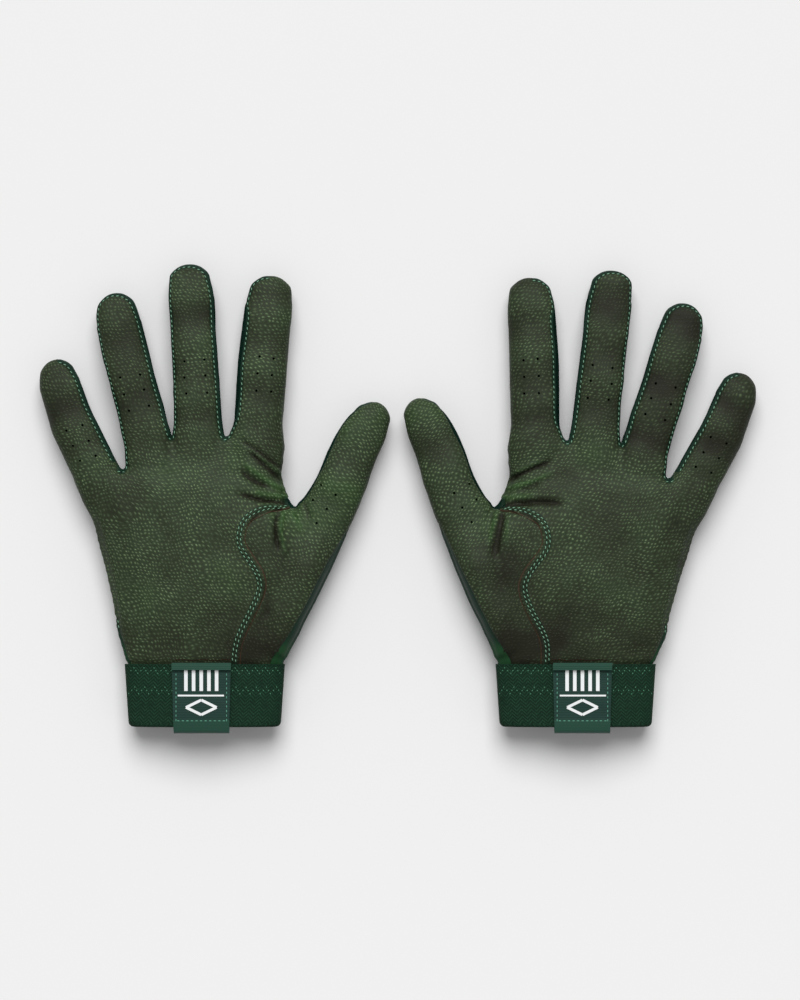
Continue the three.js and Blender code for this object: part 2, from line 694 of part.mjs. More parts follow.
// Where each panel can be found once the seams are cut: a point in plan and a range of heights.
function panelMarks() {
  const above = [fourchetteTop + probeSize, palmThickness];
  const below = [-palmThickness, -fourchetteBottom - probeSize];
  const within = [-probeSize, probeSize];
  const mid = (finger) => centreline(finger).place(0.5);
  const crotch = palmPoint(thumbCrotchShare);
  const [knuckleU, knuckleV] = betweenRoots(middle, ring);
  const knuckleMiddleV = knuckleV - knuckleSeamDrop - knucklePanelHeight / 2;
  return [
    { name: "palm_panel", at: [0, palmLength / 2], heights: above },
    { name: "thumb_panel", at: mid(thumb), heights: above },
    { name: "backhand_panel", at: [-palmWidth / 4, palmLength / 2], heights: below },
    { name: "knuckle_panel", at: [knuckleU, knuckleMiddleV], heights: below },
    { name: "index_back", at: mid(index), heights: below },
    { name: "middle_back", at: mid(middle), heights: below },
    { name: "ring_back", at: mid(ring), heights: below },
    { name: "little_back", at: mid(little), heights: below },
    { name: "thumb_back", at: mid(thumb), heights: below },
    { name: "index_middle_fourchette", at: betweenRoots(index, middle), heights: within },
    { name: "middle_ring_fourchette", at: betweenRoots(middle, ring), heights: within },
    { name: "ring_little_fourchette", at: betweenRoots(ring, little), heights: within },
    { name: "thumb_gusset", at: crotch, heights: within },
  ];
}

const panelMaterials = {
  palm_panel: leather, thumb_panel: leather, backhand_panel: synthetic, knuckle_panel: stretchKnit,
  index_back: synthetic, middle_back: synthetic, ring_back: synthetic, little_back: synthetic,
  thumb_back: synthetic, index_middle_fourchette: stretchKnit, middle_ring_fourchette: stretchKnit,
  ring_little_fourchette: stretchKnit, thumb_gusset: stretchKnit, cuff_band: elastic, pull_tab: webbing,
  strap_anchor: synthetic, closure_strap: synthetic, hook_pad: hookTape, loop_pad: elastic,
};

// Cuts the shell along its seams and names each panel that falls out.
function sewnPanels() {
  const loose = handShell().subtract(seams()).decompose();
  const panels = {};
  for (const mark of panelMarks()) {
    const [u, v] = mark.at;
    const [low, high] = mark.heights;
    const reach = high === probeSize ? cutOverrun : probeSize;
    const probe = prism([
      [u - probeSize, v - reach],
      [u + probeSize, v - reach],
      [u + probeSize, v + reach],
      [u - probeSize, v + reach],
    ], low, high);
    const found = loose.filter((panel) => panel.intersect(probe).volume() > 0);
    if (found.length !== 1) throw new Error(`${mark.name} is found ${found.length} times`);
    panels[mark.name] = found[0];
  }
  return panels;
}

// The filled hand's fingers droop towards what it lies on, and the hand turns a little at the wrist.
function layDown(geometry, lay) {
  const position = geometry.getAttribute("position");
  const centreV = palmLength / 2;
  const start = palmWidth * droopStartShare;
  const full = Math.hypot(palmWidth / 4, palmLength / 2 + middle.length);
  for (let i = 0; i < position.count; i++) {
    const u = position.getX(i);
    const v = position.getY(i);
    const reach = Math.hypot(u, Math.max(v - centreV, 0));
    const droopShare = THREE.MathUtils.clamp((reach - start) / (full - start), 0, 1);
    const droop = fingertipDroop * droopShare ** droopPower;
    const settled = THREE.MathUtils.smoothstep(v, 0, palmLength * layEndShare);
    const angle = radians(lay.turn) * settled;
    position.setXYZ(i,
      u * Math.cos(angle) - v * Math.sin(angle),
      u * Math.sin(angle) + v * Math.cos(angle) - lay.gather * settled,
      position.getZ(i) + midHeight - droop);
  }
  geometry.computeVertexNormals();
  return geometry;
}

function glove(hand, lay) {
  const group = new THREE.Group();
  const pieces = {
    ...sewnPanels(), cuff_band: cuffBand(), pull_tab: pullTab(lay.tabAside), ...closurePieces(),
  };
  for (const [name, solid] of Object.entries(pieces)) {
    const mesh = new THREE.Mesh(layDown(toGeometry(solid), lay), panelMaterials[name]);
    mesh.name = `${hand}_${name}`;
    group.add(mesh);
  }
  return group;
}

const pair = new THREE.Group();
const rightGlove = glove("right", rightLay);
const leftGlove = glove("left", leftLay);
leftGlove.scale.x = -1;
for (const [hand, side] of [[rightGlove, -1], [leftGlove, 1]]) {
  const reach = new THREE.Box3().setFromObject(hand);
  hand.position.x = (side * thumbGap) / 2 - (side < 0 ? reach.max.x : reach.min.x);
  pair.add(hand);
}

// The origin is at the middle of the pair's footprint, on what it lies on.
const extent = new THREE.Box3().setFromObject(pair);
const centre = extent.getCenter(new THREE.Vector3());
pair.position.set(-centre.x, -centre.y, -extent.min.z);

export default pair;
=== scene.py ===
"""A pair of batting gloves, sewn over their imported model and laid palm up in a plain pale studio.

Each hand is worked out in its own flat frame in millimetres, as for a right hand: u runs across it
towards the thumb, v runs from the cuff's top edge towards the fingers, and z runs from the back of the
hand (negative) to the palm (positive). The finished pieces are then laid in the frame's metres.
"""

from functools import partial
from math import cos, pi, radians, sin

import bmesh
import bpy
import numpy as np
from bpy.props import FloatProperty, FloatVectorProperty, PointerProperty
from bpy.types import Operator, Panel, PropertyGroup
from mathutils import Matrix, Vector, kdtree
from mathutils.bvhtree import BVHTree


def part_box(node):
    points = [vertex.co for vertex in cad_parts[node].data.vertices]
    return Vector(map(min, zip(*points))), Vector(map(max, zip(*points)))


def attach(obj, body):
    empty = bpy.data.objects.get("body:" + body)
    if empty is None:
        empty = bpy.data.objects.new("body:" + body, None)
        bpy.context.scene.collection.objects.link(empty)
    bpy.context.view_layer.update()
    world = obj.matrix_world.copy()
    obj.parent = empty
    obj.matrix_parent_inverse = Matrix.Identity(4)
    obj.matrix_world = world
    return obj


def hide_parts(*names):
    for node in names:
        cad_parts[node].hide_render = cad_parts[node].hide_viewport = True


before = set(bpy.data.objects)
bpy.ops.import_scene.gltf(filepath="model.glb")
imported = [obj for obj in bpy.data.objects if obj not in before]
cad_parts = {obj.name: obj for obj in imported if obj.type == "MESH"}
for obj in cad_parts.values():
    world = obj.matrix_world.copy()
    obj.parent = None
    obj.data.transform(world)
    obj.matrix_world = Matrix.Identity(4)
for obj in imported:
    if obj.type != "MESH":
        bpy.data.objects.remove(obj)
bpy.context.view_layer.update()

# Where each cuff's middle and top edge are, and how far aside of it the tab is sewn, both in metres.
HANDS = ("right", "left")
CUFF_TOPS, TAB_ASIDES = {}, {}
for hand in HANDS:
    low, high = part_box(f"{hand}_cuff_band")
    CUFF_TOPS[hand] = ((low.x + high.x) / 2, high.y)
    low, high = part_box(f"{hand}_pull_tab")
    TAB_ASIDES[hand] = (low.x + high.x) / 2 - CUFF_TOPS[hand][0]

bl_info = {
    "name": "Batting Glove Pair",
    "version": (1, 0, 0),
    "blender": (4, 5, 0),
    "location": "View3D > Sidebar > Gloves",
    "description": "Sews a pair of batting gloves over their packed model",
    "category": "Object",
}

MM = 0.001
SHELL_NODES = (
    "palm_panel", "thumb_panel", "backhand_panel", "knuckle_panel", "index_back", "middle_back",
    "ring_back", "little_back", "thumb_back", "index_middle_fourchette", "middle_ring_fourchette",
    "ring_little_fourchette", "thumb_gusset",
)

# Each finger's root across and up the hand, its length, width, lean towards the thumb and bow aside.
FINGERS = {
    "index": (25.5, 109.1, 79.6, 23.8, 4.7, 0.0),
    "middle": (-3.2, 105.9, 88.2, 22.6, -3.0, 0.0),
    "ring": (-26.3, 99.5, 82.4, 22.6, -12.1, -1.0),
    "little": (-52.5, 92.9, 58.4, 21.2, -20.0, -2.6),
    "thumb": (56.2, 68.6, 64.6, 22.4, 24.4, 0.0),
}
LONG_FINGERS = ("index", "middle", "ring", "little")
FINGER_PAIRS = (("index", "middle"), ("middle", "ring"), ("ring", "little"))

# How far the soft sides stray from that plain form: the share along a finger (or the height on the
# palm), then the move of the side towards the little finger and of the side towards the thumb.
FINGER_STRAY = {
    "index": (
        (0.1, 0.0, -0.35), (0.3, -0.35, -0.35), (0.5, -0.6, -0.5), (0.7, -0.35, 0.0), (0.8, -0.15, 0.35),
        (0.89, -0.1, 0.85), (0.95, 0.1, 0.8), (1.0, 0.3, 0.4),
    ),
    "middle": (
        (0.09, -0.2, 0.9), (0.27, 0.8, 0.6), (0.45, 0.85, 0.25), (0.63, 0.5, 0.2), (0.73, 0.2, 0.7),
        (0.86, -0.4, 0.85), (0.92, -0.75, 0.5), (1.0, -0.9, 0.5),
    ),
    "ring": (
        (0.1, 0.6, 0.8), (0.29, 0.95, 1.0), (0.39, 0.75, 0.4), (0.49, 0.6, 0.0), (0.58, 0.0, -0.1),
        (0.68, -0.85, -0.25), (0.78, -0.9, -0.5), (0.89, -1.4, -0.5), (0.94, -0.6, -1.0), (1.0, 0.0, -1.3),
    ),
    "little": (
        (0.14, -0.4, 0.8), (0.41, -0.5, 0.15), (0.55, -0.4, -0.5), (0.8, -0.5, -0.7), (0.88, -0.4, -1.0),
        (1.0, 0.3, -0.6),
    ),
    "thumb": (
        (0.12, 0.15, 1.1), (0.25, 0.4, 1.9), (0.37, 0.25, 2.1), (0.5, -0.25, 1.2), (0.62, -0.2, 0.8),
        (0.74, 0.65, 1.05), (0.81, 1.1, 1.1), (0.89, 2.3, 0.85), (0.95, 3.6, 0.8), (1.0, 3.6, 0.3),
    ),
}
PALM_STRAY = (
    (0.0, -0.1, 1.5), (3.0, 0.3, -0.7), (5.0, 0.3, -1.1), (10.0, 0.0, -0.6), (15.0, -0.4, -0.1),
    (20.0, -0.4, -0.2), (30.0, -0.1, 0.5), (45.0, -0.5, 1.0), (60.0, -0.5, 0.7), (72.0, -0.3, 0.2),
    (85.0, 0.6, 0.0),
)

# The webs between the fingers, drawn up and together: place in plan, rise, reach and share drawn in.
WEBS = ((11.2, 108.4, 2.6, 5.0, 0.3), (-16.2, 109.8, 1.3, 5.0, 0.3), (43.8, 75.0, 1.9, 5.0, 0.35))

# Points at the borders of a piece that lie closer than this are merged. A cut moves a point that lies
# within this share of an edge's length, and cuts the edge elsewhere.
SHORTEST_EDGE = 0.35
NEAR_CORNER = 0.12

# Points further outside a cut than this are left out before it is made.
FAR_OUTSIDE = 4.0

# The one skin is made in voxels of this size, and smoothed so many times before and after it is shaped.
VOXEL = 1.0
SMOOTHINGS = (130, 12)

# How the hand lies: the droop of its fingers, and how far each hand turns, is gathered at the wrist
# and sways towards the little finger just above the cuff.
PALM_LENGTH = 107.0
PALM_WIDTH = 102.0
MID_HEIGHT = 13.0
DROOP = 4.6
LAYS = {"right": (0.0, 0.0, 0.0), "left": (3.1, 2.4, 1.4)}
SWAY_UP = 14.0
SWAY_REACH = 11.0

# Seams: heights of the edges on the fingers' sides, and how far the back panels stop short of the tips.
SEWN_EDGE = 2.6
ROLLED_EDGE = -3.6
TIP_SETBACK = 8.0
THUMB_SETBACK = 3.0
POINT_LENGTH = 13.0
STRIP_TOP = 4.4
ROW_FROM_SEAM = 1.6
UNDERLAP = 1.5
DOUBLE_ROW_HALF = 0.78
LAP_RISE = 0.85
LAP_DROP = 0.55
DIP_REACH = 1.4
LEATHER_DIP = 0.7
BACK_DIP = 0.8
THUMB_SEAM_UP = 74.9
KNUCKLE_DROP = 3.5
KNUCKLE_HEIGHT = 20.0
SIDE_VENT = 24.0

# Where the leather stops on the outer side of the hand: height up the hand, then how far in from the
# outline, or how far down the side where that is below nought.
STRIP = (
    (-8.0, 6.6), (0.0, 6.3), (5.0, 5.2), (17.0, 3.5), (36.0, 3.0), (57.0, 1.6), (66.0, 0.0),
    (THUMB_SEAM_UP - 1.0, ROLLED_EDGE),
)

# The double-stitched seam between the palm leather and the thumb leather.
THUMB_SEAM = (
    (54.0, 140.0), (47.0, 100.0), (44.0, 85.0), (42.3, 77.5), (38.3, 75.8), (31.0, 76.2), (24.3, 74.2),
    (19.8, 70.8), (17.4, 66.0), (16.5, 60.1), (18.2, 55.4), (21.3, 51.1), (25.4, 45.1), (27.4, 39.3),
    (26.4, 34.4), (24.2, 29.6), (20.9, 22.8), (17.6, 16.4), (15.2, 10.0), (14.3, 3.0), (14.3, -12.0),
)

# Holes punched through the leather for air, as they lie on the right hand.
AIR_HOLES = (
    (26.7, 148.9), (33.5, 147.9), (25.7, 140.7), (32.7, 139.9), (25.2, 132.4), (32.3, 131.9),
    (-9.7, 146.5), (0.0, 147.4), (-9.7, 138.7), (0.5, 139.7), (-8.7, 131.0), (1.5, 131.4),
    (-40.7, 138.7), (-31.0, 140.2), (-38.8, 130.5), (-29.1, 132.9), (-36.4, 122.7), (-26.7, 125.1),
    (-66.7, 113.0), (-58.9, 115.7), (-63.5, 105.7), (-55.8, 108.2), (-60.1, 98.5), (-52.4, 100.9),
)
THUMB_HOLES = ((56.3, 86.8), (63.5, 82.0), (52.4, 79.5), (59.2, 75.2), (54.3, 68.4))

# Walls of the other cloths, in millimetres.
SYNTHETIC_WALL = 0.8
KNIT_WALL = 0.7
WEBBING_WALL = 0.9

# Length, width and height of each kind of stitch, in metres, and how flat the top stitches lie.
# The needle holes are small dark blobs that stand for the shade inside each hole: painted shadow.
NEEDLE_HOLE = (0.0005, 0.0005, 0.00016)
ZIGZAG_STITCH = (0.00075, 0.0005, 0.0003)
TAB_STITCH = (0.0013, 0.00045, 0.0003)
THREAD_FLATNESS = 0.75
STITCH_SLANT = radians(14.0)

# The short row of stitches above the tab, painted dark brown as painted shade under the leather's edge
# there: its start, pitch, height, wandering and count.
HEM_START = -13.6
HEM_PITCH = 1.5
HEM_UP = 2.3
HEM_SWAY = 0.25
HEM_BEND = 0.9
HEM_COUNT = 18

# Rays that look for a surface start this far above the flat hand.
ABOVE = 40.0
ACROSS = Vector((1.0, 0.0, 0.0))

# Floor, lights and camera, in metres. The picture's height is its 1000 pixels at the photograph's scale.
FLOOR_HALF = 3.0
AIR_LIGHT = 0.36
SOFTBOX_LIGHT = 2.5
SOFTBOX_WIDTH = radians(42.0)
SOFTBOX_TILT = radians(-36.0)
PICTURE_HEIGHT = 0.485
CAMERA_DISTANCE = 2.4
CAMERA_PLACE = (0.96 * MM, -0.16 * MM, CAMERA_DISTANCE + 11.0 * MM)
CAMERA_REACH = 20.0


def smoothstep(low, high, value):
    share = np.clip((value - low) / (high - low), 0.0, 1.0)
    return share * share * (3.0 - 2.0 * share)


def along_finger(name, u, v):
    """How far along a finger's line points lie, and how far aside of it towards the thumb."""
    root_u, root_v, length, _width, lean, bow = FINGERS[name]
    lean = radians(lean)
    along = (u - root_u) * sin(lean) + (v - root_v) * cos(lean)
    aside = (u - root_u) * cos(lean) - (v - root_v) * sin(lean)
    share = np.clip(along / length, 0.0, 1.0)
    return along, aside - bow * 4.0 * share * (1.0 - share)


def rounded(line, rounds=3):
    """Cuts the corners off an open line, so that it runs smoothly."""
    line = np.array(line, dtype=float)
    for _ in range(rounds):
        near = line[:-1] * 0.75 + line[1:] * 0.25
        far = line[:-1] * 0.25 + line[1:] * 0.75
        middle = np.stack([near, far], axis=1).reshape(-1, 2)
        line = np.vstack([line[:1], middle, line[-1:]])
    return line


def from_line(line, u, v):
    """The distance of points from a line in plan, positive on its right, and the share along it."""
    line = np.array(line, dtype=float)
    best = np.full(len(u), 1e9)
    side = np.ones(len(u))
    share = np.zeros(len(u))
    runs = np.hypot(*(line[1:] - line[:-1]).T)
    reached = np.concatenate([[0.0], np.cumsum(runs)])
    for i, run in enumerate(runs):
        start, step = line[i], (line[i + 1] - line[i]) / run
        du, dv = u - start[0], v - start[1]
        along = np.clip(du * step[0] + dv * step[1], 0.0, run)
        away = np.hypot(du - along * step[0], dv - along * step[1])
        closer = away < best
        turn = du * step[1] - dv * step[0]
        side = np.where(closer, np.where(turn >= 0.0, 1.0, -1.0), side)
        share = np.where(closer, (reached[i] + along) / reached[-1], share)
        best = np.where(closer, away, best)
    return best * side, share


def strayed(points):
    """Moves the sides of the plain hand out or in, to how the sewn glove's sides run."""
    u, v, _z = points.T
    heights, pinky_side, thumb_side = np.array(PALM_STRAY).T
    across = np.clip(u / 45.0, -1.0, 1.0)
    move = np.interp(v, heights, pinky_side) * (1.0 - across) / 2
    move += np.interp(v, heights, thumb_side) * (1.0 + across) / 2
    moves = np.zeros_like(points)
    moves[:, 0] = move * (1.0 - smoothstep(84.0, 94.0, v))
    nearest = np.full(len(u), 1e9)
    lines = {name: along_finger(name, u, v) for name in FINGERS}
    for along, aside in lines.values():
        nearest = np.minimum(nearest, np.abs(aside) + np.maximum(-along, 0.0) * 2.0)
    for name, (along, aside) in lines.items():
        _u, _v, length, width, lean, _bow = FINGERS[name]
        shares, pinky_side, thumb_side = np.array(FINGER_STRAY[name]).T
        share = along / length
        across = np.clip(aside / (width / 2), -1.0, 1.0)
        move = np.interp(share, shares, pinky_side) * (1.0 - across) / 2
        move += np.interp(share, shares, thumb_side) * (1.0 + across) / 2
        own = (np.abs(aside) + np.maximum(-along, 0.0) * 2.0 <= nearest) & (along > 0.0)
        move = move * smoothstep(0.0, 9.0, along) * own
        moves[:, 0] += cos(radians(lean)) * move
        moves[:, 1] -= sin(radians(lean)) * move
    for web_u, web_v, rise, reach, drawn in WEBS:
        near = np.exp(-((np.hypot(u - web_u, v - web_v) / reach) ** 2))
        moves[:, 0] -= drawn * (u - web_u) * near
        moves[:, 1] += rise * near
    return points + moves


def droop(u, v):
    """How far the filled hand's fingers and thumb hang towards what it lies on."""
    reach = np.hypot(u, np.maximum(v - PALM_LENGTH / 2, 0.0))
    start = PALM_WIDTH * 0.6
    full = np.hypot(PALM_WIDTH / 4, PALM_LENGTH / 2 + FINGERS["middle"][2])
    return DROOP * np.clip((reach - start) / (full - start), 0.0, 1.0) ** 1.3


def laid(points, hand):
    """Takes points of the flat hand, in millimetres, to where that glove lies, in metres."""
    points = np.asarray(points, dtype=float)
    u, v, z = points.T
    turn, gather, sway = LAYS[hand]
    settled = smoothstep(0.0, PALM_LENGTH * 0.35, v)
    angle = radians(turn) * settled
    swayed = sway * np.exp(-(((v - SWAY_UP) / SWAY_REACH) ** 2)) * (v > 0.0)
    x = u * np.cos(angle) - v * np.sin(angle) - swayed
    y = u * np.sin(angle) + v * np.cos(angle) - gather * settled
    height = z + MID_HEIGHT - droop(u, v)
    centre, top = CUFF_TOPS[hand]
    mirror = -1.0 if hand == "left" else 1.0
    return np.stack([centre + mirror * x * MM, top + y * MM, height * MM], axis=1)


# Meshes as arrays

def read_points(mesh):
    points = np.empty(len(mesh.vertices) * 3)
    mesh.vertices.foreach_get("co", points)
    return points.reshape(-1, 3)


def write_points(mesh, points):
    mesh.vertices.foreach_set("co", np.asarray(points, dtype=np.float32).ravel())
    mesh.update()


def read_normals(mesh):
    normals = np.empty(len(mesh.vertices) * 3, dtype=np.float32)
    mesh.vertex_normals.foreach_get("vector", normals)
    return normals.reshape(-1, 3).astype(float)


def read_edges(mesh):
    edges = np.empty(len(mesh.edges) * 2, dtype=np.int32)
    mesh.edges.foreach_get("vertices", edges)
    return edges.reshape(-1, 2)


def relaxed(points, edges, rounds, forward=0.5, back=-0.515):
    """Smooths out facets and keeps the size: each round moves points in, then out again."""
    count = np.bincount(edges.ravel(), minlength=len(points)).reshape(-1, 1)
    for _ in range(rounds):
        for weight in (forward, back):
            total = np.zeros_like(points)
            for axis in range(3):
                total[:, axis] = (
                    np.bincount(edges[:, 0], points[edges[:, 1], axis], len(points))
                    + np.bincount(edges[:, 1], points[edges[:, 0], axis], len(points))
                )
            points = points + weight * (total / count - points)
    return points


def layer_of(bm, name):
    return bm.verts.layers.float.get(name) or bm.verts.layers.float.new(name)


def mesh_of(bm, name):
    mesh = bpy.data.meshes.new(name)
    bm.to_mesh(mesh)
    bm.free()
    return mesh


def plugged(bm, points):
    """Adds the hull of some points, to close an opening for a while."""
    hull = bmesh.new()
    corners = [hull.verts.new(point) for point in points]
    bmesh.ops.convex_hull(hull, input=corners)
    loose = [vert for vert in hull.verts if not vert.link_faces]
    bmesh.ops.delete(hull, geom=loose, context="VERTS")
    mesh = mesh_of(hull, "plug")
    bm.from_mesh(mesh)
    bpy.data.meshes.remove(mesh)


def evaluated(obj):
    """The mesh of an object with its modifiers in it."""
    depsgraph = bpy.context.evaluated_depsgraph_get()
    return bpy.data.meshes.new_from_object(obj.evaluated_get(depsgraph))


class Skin:
    """The outer skin of one flat hand, as a bmesh in millimetres with the facts that the seams need."""

    def __init__(self):
        self.bm, self.points, self.normals = self.formed()
        self.edge = self.edge_distance()
        self.facts = self.seam_facts()
        self.layers = {"edge": self.edge}
        for name in ("rolled", "lap", "row", "lap_edge", "spread"):
            self.layers[name] = self.facts[name]

    def formed(self):
        centre, top = CUFF_TOPS["right"]
        shell = bmesh.new()
        for name in SHELL_NODES:
            shell.from_mesh(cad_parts[f"right_{name}"].data)
        wrist = [vert.co.copy() for vert in shell.verts if vert.co.y < top + 0.5 * MM]
        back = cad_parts["right_backhand_panel"].data.vertices
        slit = [
            vert.co.copy() for vert in back
            if abs(vert.co.x - centre) < 4.2 * MM and vert.co.y < top + 26.0 * MM
        ]
        plugged(shell, wrist)
        plugged(shell, slit)
        whole = bpy.data.objects.new("whole_hand", mesh_of(shell, "whole_hand"))
        bpy.context.scene.collection.objects.link(whole)
        remesh = whole.modifiers.new("one skin", "REMESH")
        remesh.mode = "VOXEL"
        remesh.voxel_size = VOXEL * MM
        mesh = evaluated(whole)
        bpy.data.objects.remove(whole)
        points = (read_points(mesh) - np.array([centre, top, 0.0])) / MM
        points[:, 2] += droop(points[:, 0], points[:, 1]) - MID_HEIGHT
        edges = read_edges(mesh)
        points = relaxed(points, edges, SMOOTHINGS[0])
        points = relaxed(strayed(points), edges, SMOOTHINGS[1])
        write_points(mesh, points)
        normals = read_normals(mesh)
        bm = bmesh.new()
        bm.from_mesh(mesh)
        bpy.data.meshes.remove(mesh)
        return bm, points, normals

    def edge_distance(self):
        """The distance in plan of each point from the hand's outline."""
        edges = np.array([[edge.verts[0].index, edge.verts[1].index] for edge in self.bm.edges])
        lift = self.normals[:, 2]
        near, far = lift[edges[:, 0]], lift[edges[:, 1]]
        turning = (near > 0.0) != (far > 0.0)
        near, far = near[turning], far[turning]
        share = (near / (near - far)).reshape(-1, 1)
        starts = self.points[edges[turning, 0]]
        ends = self.points[edges[turning, 1]]
        outline = starts + (ends - starts) * share
        tree = kdtree.KDTree(len(outline))
        for i, (u, v, _z) in enumerate(outline):
            tree.insert((u, v, 0.0), i)
        tree.balance()
        return np.array([tree.find((u, v, 0.0))[2] for u, v, _z in self.points])

    def seam_facts(self):
        u, v, z = self.points.T
        fingers = {name: along_finger(name, u, v) for name in FINGERS}
        apart = {
            name: np.abs(aside) + np.maximum(-12.0 - along, 0.0) * 2.0
            for name, (along, aside) in fingers.items()
        }
        lap, _share = from_line(rounded(THUMB_SEAM), u, v)
        lap = -lap
        owner = np.argmin(np.stack([apart[name] for name in LONG_FINGERS]), axis=0)
        owned = {name: owner == i for i, name in enumerate(LONG_FINGERS)}
        rolled = np.zeros(len(u))
        rolled = np.where(owned["index"], smoothstep(-3.0, 3.0, fingers["index"][1]), rolled)
        rolled = np.where(owned["little"], smoothstep(-3.0, 3.0, -fingers["little"][1]), rolled)
        rolled_palm = (
            (1.0 - smoothstep(-46.0, -40.0, u)) * smoothstep(SIDE_VENT - 14.0, SIDE_VENT, v)
            + smoothstep(30.0, 35.0, u) * smoothstep(79.0, 84.0, v)
        )
        rolled = np.where(v > 98.0, rolled, rolled_palm)
        rolled_thumb = smoothstep(-3.0, 3.0, fingers["thumb"][1])
        on_thumb = lap > 0.0
        rolled = np.where(on_thumb, rolled_thumb, rolled)
        height = SEWN_EDGE + (ROLLED_EDGE - SEWN_EDGE) * rolled
        rolled = np.where(on_thumb, 1.0, rolled)
        front = z - height

        # The leather of the index stops short of the outline on its inner side.
        along, aside = fingers["index"]
        short = 1.7 * smoothstep(0.0, 15.0, along) * (1.0 - smoothstep(58.0, 68.0, along))
        short = np.where(owned["index"] & (aside < 0.0) & ~on_thumb, short, 0.0)
        front = np.where(short > 0.05, np.minimum(front, self.edge - short), front)

        # The rows of stitches keep nearer the side towards the little finger.
        nearness = {name: np.exp(-((apart[name] / 5.0) ** 2)) + 1e-9 for name in LONG_FINGERS}
        facing = sum(nearness[name] * fingers[name][1] for name in LONG_FINGERS) / sum(nearness.values())
        inset = 1.4 + 0.4 * np.clip(facing / 6.0, -1.0, 1.0)
        blend = smoothstep(0.0, 1.2, short)
        inset = inset * (1.0 - blend) + (short + 1.1) * blend

        # Below the thumb the back comes round to the front as a strip.
        heights, strip = np.array(STRIP).T
        stripped = np.where(z > 0.0, self.edge, z) - np.interp(v, heights, strip)
        upper = smoothstep(THUMB_SEAM_UP - 1.0, THUMB_SEAM_UP + 2.0, v)
        outer = on_thumb & (fingers["thumb"][1] > -2.0)
        front = np.where(outer, front * upper + stripped * (1.0 - upper), front)
        narrow = smoothstep(26.0, 38.0, u) * (v > 60.0)
        return {
            "fingers": fingers, "apart": apart, "owned": owned, "lap": lap, "rolled": rolled,
            "front": front, "short": short, "on_thumb": on_thumb, "spread": 1.0 - 0.45 * narrow,
            "row": self.edge - inset,
            "lap_edge": 3.0 - 1.9 * narrow,
        }


def part_of(skin, cuts, keep=True):
    """Cuts a piece out of the skin. Each cut is a value that is positive inside the piece."""
    bm = skin.bm.copy()
    for name, values in skin.layers.items():
        fill_layer(bm, name, values)
    far = np.broadcast_to(np.logical_not(keep), len(skin.points)).copy()
    for i, values in enumerate(cuts):
        fill_layer(bm, f"cut{i}", values)
        far |= values < -FAR_OUTSIDE
    doomed = [vert for vert, gone in zip(bm.verts, far.tolist()) if gone]
    bmesh.ops.delete(bm, geom=doomed, context="VERTS")
    for i in range(len(cuts)):
        keep_inside(bm, layer_of(bm, f"cut{i}"))
    for i in range(len(cuts)):
        bm.verts.layers.float.remove(layer_of(bm, f"cut{i}"))
    loose = [vert for vert in bm.verts if not vert.link_faces]
    bmesh.ops.delete(bm, geom=loose, context="VERTS")
    bm.verts.index_update()
    near_border = {
        other for vert in bm.verts if vert.is_boundary
        for edge in vert.link_edges for other in edge.verts
    }
    near_border = sorted(near_border, key=lambda vert: vert.index)
    bmesh.ops.remove_doubles(bm, verts=near_border, dist=SHORTEST_EDGE)
    bmesh.ops.dissolve_degenerate(bm, edges=bm.edges, dist=0.01)
    evened(bm, 4)
    return bm


def evened(bm, rounds):
    """Smooths the borders of a piece, so that its cut runs clean, and the points next to them."""
    bm.verts.index_update()
    border = {vert for vert in bm.verts if vert.is_boundary}
    inner = {edge.other_vert(vert) for vert in border for edge in vert.link_edges} - border
    moved = sorted(border | inner, key=lambda vert: vert.index)
    for _ in range(rounds):
        aims = []
        for vert in moved:
            edges = [edge for edge in vert.link_edges if edge.is_boundary or vert in inner]
            total = sum((edge.other_vert(vert).co for edge in edges), Vector())
            aims.append((vert.co + total / len(edges)) / 2 if len(edges) > 1 else vert.co.copy())
        for vert, aim in zip(moved, aims):
            vert.co = aim


def keep_inside(bm, layer):
    """Cuts a mesh along the line where a layer is nought, and keeps the side where it is positive."""
    for edge in bm.edges:
        start, end = edge.verts
        a, b = start[layer], end[layer]
        if a * b < 0.0:
            share = a / (a - b)
            if min(share, 1.0 - share) < NEAR_CORNER:
                vert = start if share < 0.5 else end
                vert.co = start.co.lerp(end.co, share)
                vert[layer] = 0.0
    crossing = [edge for edge in bm.edges if edge.verts[0][layer] * edge.verts[1][layer] < 0.0]
    on_line = dict.fromkeys(vert for vert in bm.verts if vert[layer] == 0.0)
    for edge in crossing:
        start, end = edge.verts
        share = start[layer] / (start[layer] - end[layer])
        _edge, vert = bmesh.utils.edge_split(edge, start, share)
        vert[layer] = 0.0
        on_line[vert] = None
    bmesh.ops.connect_verts(bm, verts=list(on_line))
    doomed = [face for face in bm.faces if sum(vert[layer] for vert in face.verts) < 0.0]
    bmesh.ops.delete(bm, geom=doomed, context="FACES")


